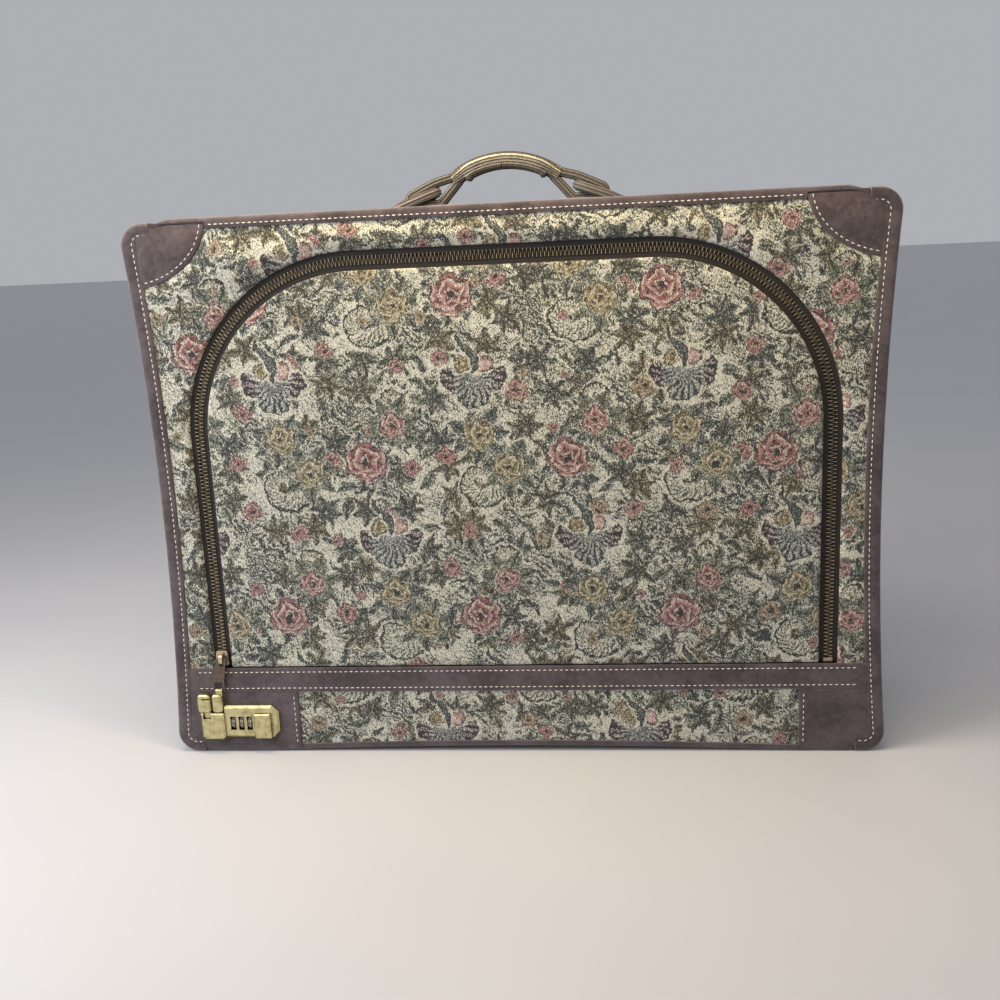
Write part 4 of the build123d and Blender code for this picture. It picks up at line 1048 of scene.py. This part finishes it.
for side, side_name in ((-1, "left"), (1, "right")):
    stations = side_stations(side, panel_end_x - 6, 6.0)
    make_piece(f"{side_name}_side_tapestry", sweep(stations, lambda i: cover_profile(stations[i][0])),
               side_tapestry, [f"{side_name}_side_cover"])

# Suede patches on the front and the back
patch_overlap = 5.0
band_half = half_corner - waist_draw_in + 2
band_loop = [(-band_half, band_bottom), (band_half, band_bottom),
             (band_half, band_top), (-band_half, band_top)]
panel("band_suede", band_loop, on_front, pad_relief, 0.0, suede, ["hinge_band"], spacing=4.5)


def corner_pad_loop(side, z_corner, facing):
    """Quarter-round patch, whose outer corner is cut off under the round corner of the binding."""
    hand = 1 if z_corner > waist_z else -1
    outer_x = half_corner - patch_overlap
    limit = cover_top - 1 if hand > 0 else base_z + 1
    bevel_z = cover_top - corner_radius if hand > 0 else base_z + corner_radius
    points = []
    for c, s in arc(0, 0, 1.0, 0, 90, 0.06):
        x = half_corner - corner_pad_length * c
        z = z_corner - hand * corner_pad_height * s
        if x < outer_x:
            points.append((x, min(z, limit) if hand > 0 else max(z, limit)))
    points += [(outer_x, points[-1][1]), (outer_x, bevel_z), (half_corner - corner_radius, limit)]
    return [(side * facing * x, z) for x, z in points]


def square_pad_loop(side, inner_x):
    """Patch beside the lower panel, cut off under the binding like the corner patches."""
    foot, head = base_z + 0.6, band_bottom + 0.3
    outer_x = half_corner - patch_overlap
    return [(inner_x, foot), (side * (half_corner - corner_radius), foot),
            (side * outer_x, base_z + corner_radius), (side * outer_x, head), (inner_x, head)]


for side, side_name in ((-1, "left"), (1, "right")):
    panel(f"front_top_{side_name}_suede", corner_pad_loop(side, case_top, 1), on_front, corner_relief, 0.0,
          suede, [f"front_top_{side_name}_pad"])
    for z, level in ((case_top, "top"), (0.0, "bottom")):
        panel(f"back_{level}_{side_name}_suede", corner_pad_loop(side, z, -1), on_back, pad_relief, 0.0,
              suede, [f"back_{level}_{side_name}_pad"], spacing=6.0)
for name, side, inner_x, node in (("lock_pad_suede", -1, lock_pad_inner_x, "front_bottom_left_pad"),
                                  ("right_pad_suede", 1, right_pad_inner_x, "front_bottom_right_pad")):
    panel(name, square_pad_loop(side, inner_x), on_front, pad_relief, 0.0, suede, [node])


# Bindings: suede folded over the edges of both faces
def binding_profile(facing):
    """Section through a binding: its face lies to the inside, its wrap runs along the side."""
    face = front_y if facing < 0 else back_y
    points = [(-binding_width, 0.0), (-binding_width, -1.1), (-binding_width + 0.9, -1.7), (-9.6, -1.9),
              (-8.4, -1.55), (-7.6, -1.55), (-6.4, -2.0), (-4.0, -2.4), (-2.2, -2.35)]
    points += [(-1.6 + 3.1 * math.sin(a), 0.75 - 3.1 * math.cos(a)) for a in np.linspace(0.15, 1.57, 7)]
    points += [(1.6, 5.0), (1.5, binding_wrap - 1.0), (1.0, binding_wrap), (-0.6, binding_wrap), (-0.6, 0.0)]
    return [(out, face - facing * depth) for out, depth in points]


for facing, face_name in ((-1, "front"), (1, "back")):
    section = binding_profile(facing)
    for side, side_name in ((-1, "left"), (1, "right")):
        stations = side_stations(side, panel_end_x + 1.5, 4.0)

        def uneven_section(index):
            place = stations[index][0]
            give = 0.35 * wander(place.x, 40 * facing, place.z, 16)
            return [(a + give * (0.4 if a > -6 else 0.0), b + facing * give * 0.5) for a, b in section]

        make_piece(f"{face_name}_{side_name}_binding_suede", sweep(stations, uneven_section), suede,
                   [f"{face_name}_{side_name}_binding"])

# Top and bottom panels: suede strips whose edges fold over the faces
lip_front, lip_back = low("top_panel").y, high("top_panel").y
flap_bottom = case_top - 9.0
skin = 1.3
top_edge, bottom_edge = 3.4, 1.4
end_fall, end_run = 3.4, 16.0
bottom_flap_height = 5.0


def rolled(level, lip, rise, inward, steps):
    """Quarter round from a lip at the face up or down to a level."""
    angles = np.linspace(0, math.pi / 2, steps)
    return [(level - rise * (1 - math.sin(a)), lip + inward * (1 - math.cos(a))) for a in angles]


def across_case(xs, profile):
    """Sweep along the width of a section that changes with x."""
    return sweep([(Vector((x, 0, 0)), up, back) for x in xs], lambda i: profile(xs[i]))


def spread(count, steps_at):
    """Even places along the top, and two close together at each place where the section steps."""
    even = np.linspace(-panel_end_x, panel_end_x, count).tolist()
    return sorted({*even, *[x + d for x in steps_at for d in (-0.05, 0.05)]})


def top_profile(x):
    """Section through the padded top panel at x, as (height, depth)."""
    reach = abs(x)
    flap = flap_bottom if reach < flap_half_length else cover_top
    top = case_top - end_fall * ease((reach - (panel_end_x - end_run)) / end_run)
    section = [(flap, lip_front + 0.1), (flap + 0.6, lip_front - 0.25)]
    section += rolled(top, lip_front, top_edge, top_edge, 6)
    for y in np.linspace(lip_front + top_edge + 4, lip_back - top_edge - 4, 30):
        crown = 1.3 * math.sin(math.pi * (y - lip_front) / (lip_back - lip_front))
        near_handle = math.exp(-((reach - 85) / 40) ** 2 - (y - mid_y) ** 2 / 900)
        soft = 0.7 * wander(x, y, 0, 60) + 0.3 * wander(x, y, 5, 22)
        section.append((top + (crown + soft) * (1 - near_handle) * ease((panel_end_x - reach) / 30), y))
    section += rolled(top, lip_back, top_edge, -top_edge, 6)[::-1]
    section += [(flap + 0.6, lip_back + 0.25), (flap, lip_back - 0.1), (flap, back_y)]
    section += [(cover_top - 0.3, back_y), (cover_top - skin, back_face_y), (cover_top - skin, face_back_y)]
    return section + [(cover_top - 0.3, front_y), (flap, front_y)]


def under_profile(x):
    """Section through the bottom panel at x, as (height, depth)."""
    inner_z = base_at(x)
    floor_z = inner_z - base_z
    flap = floor_z + bottom_flap_height
    front_rim = flap if lock_pad_inner_x < x < right_pad_inner_x else inner_z + 0.2
    back_rim = flap if abs(x) < flap_half_length else inner_z + 0.2
    section = [(front_rim, lip_front), *rolled(floor_z, lip_front, -bottom_edge, bottom_edge, 5)]
    for y in np.linspace(lip_front + 12, lip_back - 12, 20):
        section.append((floor_z + 0.35 * ease(0.5 + wander(x, y, 0, 30)), y))
    section += rolled(floor_z, lip_back, -bottom_edge, -bottom_edge, 5)[::-1]
    section += [(back_rim, lip_back), (back_rim + 0.1, back_y), (inner_z, back_y)]
    section += [(inner_z + skin, back_face_y), (inner_z + skin, face_back_y)]
    return section + [(inner_z, front_y), (front_rim + 0.1, front_y)]


flap_ends = (-flap_half_length, flap_half_length)
make_piece("top_suede", across_case(spread(120, flap_ends), top_profile), suede, ["top_panel"])
under_xs = spread(90, (lock_pad_inner_x, right_pad_inner_x, *flap_ends))
make_piece("bottom_suede", across_case(under_xs, under_profile), suede, ["bottom_panel"])

# Hoop and lining: cloth glued round the inside of the hoop, over the back board and on the lid
hoop_gap = 1.7
cloth_thickness = 0.7
lining_inset = half_corner - high("lining").x
lining_front_y, lining_back_y = low("lining").y, high("lining").y
lining_ys = np.linspace(lining_front_y, lining_back_y, 26)
lid_lining_y = low("lid_lining").y
half_round = side_path(0.0, 7.0)
stations = [(Vector((x, 0, z)), Vector((nx, 0, nz)), back)
            for x, z, nx, nz in half_round + [(-x, z, -nx, nz) for x, z, nx, nz in half_round[-2:0:-1]]]
hoop_ys = low("frame_hoop").y, high("frame_hoop").y
hoop_section = [(-hoop_gap, y) for y in hoop_ys] + [(-lining_inset, y) for y in hoop_ys[::-1]]
make_piece("hoop_board", sweep(stations, hoop_section, closed=True), board, ["frame_hoop"])


def lining_profile(index):
    """Section through the lining's wall: flat on the hoop, slack between its glued ends."""
    place = stations[index][0]
    section = [(-lining_inset, y) for y in lining_ys[::-1]]
    for y in lining_ys:
        slack = ease((y - lining_front_y) / 25) * ease((lining_back_y - y) / 25)
        fold = abs(wander(place.x, y, place.z, 34)) * 2.4 + abs(wander(place.x, y * 0.3, place.z, 11))
        section.append((-lining_inset - cloth_thickness - slack * fold, y))
    return section


make_piece("lining_wall", sweep(stations, lining_profile, closed=True), lining_cloth, ["lining"])


def inside_back(u, v, out):
    return (u, lining_back_y - out, v)


def inside_lid(u, v, out):
    return (-u, lid_lining_y + out, v)


def slack_relief(u, v, d):
    """Thin cloth glued at its edges, slack and a little creased between them."""
    crease = 2.2 * abs(wander(u, 0, v, 60)) + 0.8 * abs(wander(u + v * 0.4, 3, v, 18))
    return cloth_thickness + crease * ease(d / 14)


back_lining_loop = case_loop(lining_inset + cloth_thickness, cover_top, base_z)
panel("lining_back", back_lining_loop, inside_back, slack_relief, 0.0, lining_cloth, spacing=7.0)
lid_lining_loop = zip_loop(high("lid_lining").x - zip_half_width, low("lid_lining").z)
panel("lining_lid", lid_lining_loop, inside_lid, slack_relief, 0.0, lining_cloth, ["lid_lining"], "lid",
      spacing=6.0)

# Stitches: each a short arched thread whose ends dive into the leather
stitch_pitch = 4.7
stitch_length = 2.9
stitch_radius = 0.44
stitch_rings = ((-0.5, 0.35, -0.35), (-0.36, 0.85, 0.05), (0.0, 1.0, 0.28), (0.36, 0.85, 0.05),
                (0.5, 0.35, -0.35))
sixths = [k * math.pi / 3 for k in range(6)]
stitch_section = [(math.sin(a) * 0.8 * stitch_radius, math.cos(a) * stitch_radius) for a in sixths]


def stitch(place, way, out):
    """One stitch, as rings of its section by (place along it, girth, rise)."""
    across = way.cross(out).normalized()
    stations = [(place + way * (along * stitch_length) + out * rise, out * girth, across * girth)
                for along, girth, rise in stitch_rings]
    return sweep(stations, stitch_section)


def stitch_row(points, out):
    """Stitches spaced along a line of points. out is the surface's normal there."""
    made = []
    lengths = [0.0]
    for a, b in zip(points, points[1:]):
        lengths.append(lengths[-1] + (b - a).length)
    count = int(lengths[-1] / stitch_pitch)
    step = lengths[-1] / max(1, count)
    index = 0
    for i in range(count):
        at = (i + 0.5) * step
        while lengths[index + 1] < at:
            index += 1
        a, b = points[index], points[index + 1]
        share = (at - lengths[index]) / (lengths[index + 1] - lengths[index])
        swing = 0.12 * wander(at, points[0].x, points[0].z, 3.0)
        tilt = Matrix.Rotation(swing, 3, out)
        made.append(stitch(a.lerp(b, share), tilt @ (b - a).normalized(), out))
    return made


def on_face(facing, x, z, out):
    """A place that stands out from the front (facing -1) or the back (facing 1)."""
    return Vector((x, (front_y - out) if facing < 0 else (back_y + out), z))


binding_stitch_inset, patch_stitch_inset, flap_stitch_inset = 8.0, 4.0, 3.0
binding_rise, flap_rise, band_rise = 1.65, 1.75, 0.3
stitches = []
for facing in (-1, 1):
    outward = back * facing
    relief, levels = (corner_relief, (case_top,)) if facing < 0 else (pad_relief, (case_top, 0.0))
    for side in (-1, 1):
        row = []
        for x, z, nx, nz in side_path(panel_end_x + 3, 4.0):
            inner_x, inner_z = x - nx * binding_stitch_inset, z - nz * binding_stitch_inset
            row.append(on_face(facing, side * inner_x, inner_z, binding_rise))
        stitches += stitch_row(row, outward)
        for level in levels:
            hand = 1 if level > waist_z else -1
            row = []
            for c, s in arc(0, 0, 1.0, 5, 80, 0.03):
                x = half_corner - (corner_pad_length - patch_stitch_inset) * c
                z = level - hand * (corner_pad_height - patch_stitch_inset) * s
                if x < half_corner - binding_width - 3:
                    row.append(on_face(facing, side * x, z, relief(side * x, z, patch_stitch_inset) + 0.1))
            stitches += stitch_row(row, outward)
    flap_end = flap_half_length - 2
    row = [on_face(facing, x, flap_bottom + flap_stitch_inset, flap_rise) for x in (-flap_end, 0, flap_end)]
    stitches += stitch_row(row, outward)
band_end = half_corner - waist_draw_in - binding_width - 2
for z in (band_bottom + 4.0, band_top - 3.8):
    stitches += stitch_row([Vector((x, pad_front_y - band_rise, z)) for x in (-band_end, 0, band_end)], -back)
for x in (lock_pad_inner_x - patch_stitch_inset, right_pad_inner_x + patch_stitch_inset):
    row = [Vector((x, pad_front_y - band_rise, z)) for z in (base_z + 6, band_bottom - 3)]
    stitches += stitch_row(row, -back)
make_piece("stitches", joined(stitches), thread, sharp=80)

# Zip tapes, each with a corded edge for the teeth
tape_outer, tape_inner, tape_half = 14.0, 4.2, 0.4
cord_place, cord_radius = 3.4, 1.0


def tape_run(start, end, hand, step=5.0):
    """Tape between two distances along the zip, on the body's side (hand 1) or the lid's (hand -1)."""
    section = [(tape_outer, tape_half), (tape_outer, -tape_half), (tape_inner, -tape_half)]
    section += [(cord_place + cord_radius * math.cos(a), -cord_radius * math.sin(a))
                for a in np.linspace(0.9, 2 * math.pi - 0.9, 8)]
    section = [(hand * out, depth) for out, depth in section + [(tape_inner, tape_half)]]
    count = max(2, round((end - start) / step))
    places = [zip_station(start + (end - start) * i / count) for i in range(count + 1)]
    return sweep([(place, out, back) for place, out, _ in places], section)


low_run = lid_bottom - band_top
stub_run = stub_top - band_top
lid_run = lid_chain_start - band_top
body_tapes = [tape_run(low_run, zip_length - low_run, 1), tape_run(low_run, stub_run, -1),
              tape_run(zip_length - stub_run, zip_length - low_run, -1)]
make_piece("tape_body", joined(body_tapes), tape, ["zip_tape_body"])
make_piece("tape_lid", tape_run(lid_run, zip_length - lid_run, -1), tape, ["zip_tape_lid"], "lid")

# Zip teeth: separate clips, clamped on the cords, whose heads mesh past the zip line
tooth_section = ((-0.26, -1.9), (0.26, -1.9), (0.54, -1.3), (0.54, 1.9), (-0.54, 1.9), (-0.54, -1.3))
tooth_rings = ((-1.45, 0.5, 0.8), (-1.1, 0.75, 0.8), (0.45, 0.75, 0.8), (0.95, 1.0, 0.0), (3.3, 1.0, 0.0),
               (3.7, 0.7, 0.4))


def tooth_row(start, end, hand):
    """Teeth on the body's side (hand 1) or, half a pitch on, the lid's (hand -1). Each is rings of a
    section along its length, by (reach, girth, how deep it is sunk)."""
    shift = 0.0 if hand > 0 else 0.5
    first = math.ceil(start / tooth_pitch - shift)
    last = math.floor(end / tooth_pitch - shift)
    row = []
    for k in range(first, last + 1):
        place, out, way = zip_station((k + shift) * tooth_pitch)
        rings = [(place + out * (hand * reach) + back * sunk, way * girth, back * girth)
                 for reach, girth, sunk in tooth_rings]
        row.append(sweep(rings, tooth_section))
    return row


right_end = zip_length - (right_chain_start - band_top) - 1
body_teeth = tooth_row(body_chain_start - band_top, right_end, 1)
body_teeth += tooth_row(high("zip_slider").z - band_top, stub_run, -1)
body_teeth += tooth_row(zip_length - stub_run, right_end, -1)
lid_teeth = tooth_row(lid_run, zip_length - lid_run, -1)
make_piece("teeth_body", joined(body_teeth), zip_brass, ["zip_teeth_body"], sharp=50)
make_piece("teeth_lid", joined(lid_teeth), zip_brass, ["zip_teeth_lid"], "lid", sharp=50)

# Handle: ribbed grip, the links at its ends and the loops that hold them
grip_radius = 83.5
grip_thickness = 11.5
grip_width = 22.0
grip_half_span = 46.0
grip_shoulder_x = 28.0
grip_ribs, grip_rib_depth = 24, 0.8
link_width = 10.0
link_thickness = 6.6
link_ribs = 11
link_circles = ((43.0, 25.0, 2.6), (60.0, 20.6, 2.6), (72.0, 15.4, 2.6), (80.5, 9.4, 4.4), (58.2, 6.0, 1.2))
strip_ribs, strip_half_span, strip_thickness = 14, 37.0, 5.0
slit_start, slit_end = -3.2, -2.4
knot_x, knot_width, knot_height = 34.5, 1.6, 1.8
loop_ribs = 10
loop_thickness = 7.2
loop_width = 8.2
loop_rise = 12.6
loop_bend_x, loop_end_x = 92.0, 58.0
loop_middle_x, loop_half_length, loop_half_width = 84.0, 23.5, 9.6
taper_start_x, narrow_start_x, taper_run = 86.0, 90.0, 20.0
rib_depth = 0.7
rib_steps = 6
arch_z = high("handle_grip").z - grip_radius
grip_middle = grip_radius - grip_thickness / 2


def respaced(loop, count):
    """A closed loop of points at even steps."""
    points = np.array(loop + loop[:1])
    run = np.concatenate([[0], np.cumsum(np.hypot(*np.diff(points, axis=0).T))])
    at = np.linspace(0, run[-1], count, endpoint=False)
    return [(float(np.interp(a, run, points[:, 0])), float(np.interp(a, run, points[:, 1]))) for a in at]


def ribbed(width, thickness, ribs, depth, power=3.2):
    """Section of a ribbed strap, as (out, across): a rounded oblong raised in ridges."""
    fine = []
    for i in range(240):
        t = 2 * math.pi * (i + 0.5) / 240
        c, s = math.cos(t), math.sin(t)
        bulge = (abs(c) ** power + abs(s) ** power) ** (-1 / power)
        fine.append((s * bulge * thickness / 2, c * bulge * width / 2))
    even = respaced(fine, ribs * rib_steps)
    section = []
    for i, (out, across) in enumerate(even):
        before, after = even[i - 1], even[(i + 1) % len(even)]
        tangent = Vector((after[0] - before[0], after[1] - before[1])).normalized()
        dip = depth * (1 - abs(math.sin(math.pi * i / rib_steps)) ** 0.6)
        section.append((out - tangent.y * dip, across + tangent.x * dip))
    return section


def make_ribbed(name, parts, body, replaced):
    """A piece from swept parts (points and faces, ribs), with its ribs numbered for the cover."""
    values = []
    for (_, faces), ribs in parts:
        size = ribs * rib_steps
        for face in faces:
            steps = [v % size for v in face]
            over = max(steps) - min(steps) > size / 2
            values += [(size if over and k == 0 else k) / rib_steps for k in steps]
    shape = joined([swept for swept, _ in parts])
    return make_piece(name, shape, handle_cover, replaced, body, sharp=60, ribs=values)


def arch_station(x):
    """Station on the middle of the grip's arch."""
    angle = math.asin(x / grip_middle)
    out = Vector((math.sin(angle), 0, math.cos(angle)))
    return Vector((0, mid_y, arch_z)) + out * grip_middle, out, back


def grip_width_at(x):
    """The grip's width, which falls to the links' beyond its shoulders."""
    share = ease((abs(x) - grip_shoulder_x) / (grip_half_span - grip_shoulder_x))
    return grip_width + (link_width + 1.6 - grip_width) * share


def hull(points):
    """Convex hull of points, anticlockwise."""
    ordered = sorted(points)
    sides = []
    for run in (ordered, ordered[::-1]):
        side = []
        for p in run:
            while len(side) > 1:
                (ax, ay), (bx, by) = side[-2], side[-1]
                if (bx - ax) * (p[1] - ay) - (by - ay) * (p[0] - ax) > 0:
                    break
                side.pop()
            side.append(p)
        sides += side[:-1]
    return sides


spans = np.linspace(-grip_half_span, grip_half_span, 56).tolist()
grip = sweep([arch_station(x) for x in spans],
             lambda i: ribbed(grip_width_at(spans[i]), grip_thickness, grip_ribs, grip_rib_depth))
handle_parts = [(grip, grip_ribs)]
for side in (-1, 1):
    rim = []
    for x, z, radius in link_circles:
        for a in np.linspace(0, 2 * math.pi, 40, endpoint=False):
            rim.append((side * (x + radius * math.cos(a)), case_top + z + radius * math.sin(a)))
    route = respaced(hull(rim), 90)
    stations = []
    for i, (x, z) in enumerate(route):
        ahead, behind = route[(i + 1) % len(route)], route[i - 1]
        way = Vector((ahead[0] - behind[0], 0, ahead[1] - behind[1])).normalized()
        stations.append((Vector((x, mid_y, z)), Vector((way.z, 0, -way.x)), back))
    link = sweep(stations, ribbed(link_width, link_thickness, link_ribs, rib_depth), closed=True)
    handle_parts.append((link, link_ribs))
make_ribbed("handle_ribbed", handle_parts, "handle", ["handle_grip"])


# Strip under the grip, wrapped a little up its sides, with a slit where its ends meet
def strip_section(x):
    """Section of the strip, thicker at the knots near its ends."""
    knot = math.exp(-((abs(x) - knot_x) / knot_width) ** 2)
    section = ribbed(grip_width_at(x) + 0.9, strip_thickness + knot_height * knot, strip_ribs, 0.5, 4.0)
    return [(out - grip_thickness / 2 + 1.0 - 0.7 * knot, across) for out, across in section]


strip_parts = []
for start, end in ((-strip_half_span, slit_start), (slit_end, strip_half_span)):
    spans = np.linspace(start, end, 30).tolist()
    strip = sweep([arch_station(x) for x in spans], lambda i: strip_section(spans[i]))
    strip_parts.append((strip, strip_ribs))
make_ribbed("handle_strip", strip_parts, "handle", ["handle_underside_cover"])


# Anchors: leather loops, thin at the tail that is sewn down and round where the link passes
def loop_height(x):
    """Height of a loop's underside above the case's top."""
    climb = (loop_bend_x - x) / (loop_bend_x - loop_end_x)
    return loop_rise * (climb if climb > 0.15 else 0.0 if climb < -0.15 else (climb + 0.15) ** 2 / 0.6)


plan = []
for a in np.linspace(0, 2 * math.pi, 80, endpoint=False):
    x = loop_middle_x - loop_half_length * math.cos(a)
    narrowed = 1 - 0.45 * ease((x - narrow_start_x) / taper_run)
    half = loop_half_width * abs(math.sin(a)) ** 0.62 * narrowed
    plan.append((x, math.copysign(half, math.sin(a))))
plan = respaced(plan, 100)
for side, side_name in ((-1, "left"), (1, "right")):
    stations, sections = [], []
    for i, (x, y) in enumerate(plan):
        ahead, behind = plan[(i + 1) % len(plan)], plan[i - 1]
        taper = 1 - 0.6 * ease((x - taper_start_x) / taper_run)
        thickness = loop_thickness * taper
        sections.append(ribbed(loop_width, thickness, loop_ribs, rib_depth * taper))
        slope = (loop_height(x + 1) - loop_height(x - 1)) / 2
        normal = Vector((-slope * side, 0, 1)).normalized()
        rise = loop_height(ahead[0]) - loop_height(behind[0])
        way = Vector((side * (ahead[0] - behind[0]), ahead[1] - behind[1], rise)).normalized()
        foot = Vector((side * x, mid_y + y, case_top + loop_height(x)))
        stations.append((foot + normal * (thickness / 2 - 0.2), normal, way.cross(normal).normalized()))
    shape = sweep(stations, lambda i: sections[i], closed=True)
    loop = make_ribbed(f"handle_loop_{side_name}", [(shape, loop_ribs)], None, [f"handle_anchor_{side_name}"])
    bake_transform(loop)

# Rigid pieces keep their solids and get their metals
node_materials = {
    "front_board": board, "back_board": board, "lid_board": board,
    "zip_bottom_stop": zip_brass, "zip_top_stops": zip_brass, "zip_slider": zip_brass,
    "zip_puller": bronze, "clasp": brass, "latch_block": brass, "lock_plate": brass,
    "release_button": brass, "lock_backing_plate": steel, "lock_screws": steel, "dial_shaft": steel,
    "dial_1": dial_metal, "dial_2": dial_metal, "dial_3": dial_metal,
}
for node, material in node_materials.items():
    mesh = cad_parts[node].data
    mesh.materials.clear()
    mesh.materials.append(material)

# Numerals: plain figures of up to seven bars, one figure to each flat of a dial
flat_turn = math.radians(36)
figure_height, figure_width, bar_width, bar_rise = 2.3, 1.5, 0.42, 0.1
lying_bars = [(0, z, 1, 0) for z in (1, 0, -1)]
standing_bars = [(x, z, 0, 1) for z in (0.5, -0.5) for x in (-1, 1)]
shown_bars = ("1011111", "0000101", "1110110", "1110101", "0101101",
              "1111001", "1111011", "1000101", "1111111", "1111101")


def figure(shown, centre, upward, out):
    """One figure of raised bars on a dial's flat."""
    parts = []
    for (x, z, flat, upright), seen in zip(lying_bars + standing_bars, shown):
        if seen == "1":
            middle = centre + Vector((x * figure_width / 2, 0, 0)) + upward * (z * figure_height / 2)
            half_x = (bar_width + flat * figure_width) / 2
            half_z = (bar_width + upright * figure_height / 2) / 2
            corners = [(-half_x, -half_z), (half_x, -half_z), (half_x, half_z), (-half_x, half_z)]
            ends = [(middle + out * rise, Vector((1, 0, 0)), upward) for rise in (-bar_rise, bar_rise)]
            parts.append(sweep(ends, corners))
    return parts


for dial in (1, 2, 3):
    first, last = low(f"dial_{dial}"), high(f"dial_{dial}")
    radius = (last.y - first.y) / 2 * math.cos(flat_turn / 2)
    figures = []
    for number, shown in enumerate(shown_bars):
        a = flat_turn * (number + 0.5)
        out = Vector((0, math.cos(a), math.sin(a)))
        upward = Vector((0, math.sin(a), -math.cos(a)))
        figures += figure(shown, (first + last) / 2 + out * radius, upward, out)
    make_piece(f"dial_{dial}_numerals", joined(figures), numeral, body=f"dial_{dial}")

# Camera, set to the photograph's angle
camera_place = Vector((81.0, -970.6, 428.0)) * MM
camera_yaw, camera_pitch, camera_roll = math.radians(5.82), math.radians(12.86), math.radians(-2.64)
focal_share = 1.086
sensor = 36.0
camera_data = bpy.data.cameras.new("camera")
camera_data.sensor_width = sensor
camera_data.sensor_fit = "HORIZONTAL"
camera_data.lens = focal_share * sensor
camera_data.clip_start = 0.01
camera = bpy.data.objects.new("camera", camera_data)
scene.collection.objects.link(camera)
turn = Matrix.Rotation(camera_yaw, 4, "Z") @ Matrix.Rotation(math.pi / 2 - camera_pitch, 4, "X")
camera.matrix_world = Matrix.Translation(camera_place) @ turn @ Matrix.Rotation(camera_roll, 4, "Z")
scene.camera = camera

# Floor and light
floor_reach = 40.0
floor_mesh = bpy.data.meshes.new("floor")
corners = [(x * floor_reach, y * floor_reach, 0) for x, y in ((-1, -1), (1, -1), (1, 1), (-1, 1))]
floor_mesh.from_pydata(corners, [], [(0, 1, 2, 3)])
floor = bpy.data.objects.new("floor", floor_mesh)
floor_material, g, shader, place = new_material("floor")
tone = g.noise(place, 0.004)[0]
g.feed(shader.inputs["Base Color"], g.mix(tone, rgb(0.52, 0.52, 0.56), rgb(0.57, 0.57, 0.60)))
set_shader(shader, Roughness=0.6)
floor_mesh.materials.append(floor_material)
scene.collection.objects.link(floor)


def area_light(name, place, target, size, energy, tint):
    """Lamp that only lights, at a place in metres and turned to a target."""
    data = bpy.data.lights.new(name, "AREA")
    data.shape = "RECTANGLE"
    data.size, data.size_y = size
    data.energy = energy
    data.color = tint
    light = bpy.data.objects.new(name, data)
    light.location = place
    light.visible_camera = False
    light.rotation_euler = (Vector(target) - Vector(place)).to_track_quat("-Z", "Y").to_euler()
    scene.collection.objects.link(light)


area_light("window", (-0.88, -0.56, 0.64), (-0.1, 0, 0.28), (0.6, 0.6), 10.0, (0.96, 0.98, 1.0))
area_light("overhead", (-0.15, -0.36, 1.40), (0, 0, 0.4), (0.8, 0.4), 4.0, (1.0, 0.82, 0.56))
area_light("strip", (-0.10, -0.20, 0.70), (-0.05, -0.09, 0.44), (0.8, 0.08), 3.0, (1.0, 0.79, 0.44))
area_light("fill", (2.0, -1.8, 0.9), (0, 0, 0.2), (2.0, 1.5), 2.0, (1.0, 0.95, 0.9))
world = bpy.data.worlds.new("studio")
world.use_nodes = True
sky = world.node_tree.nodes["Background"]
sky.inputs[0].default_value = rgb(0.72, 0.74, 0.78)
sky.inputs[1].default_value = 0.58
scene.world = world
scene.view_settings.view_transform = "Standard"
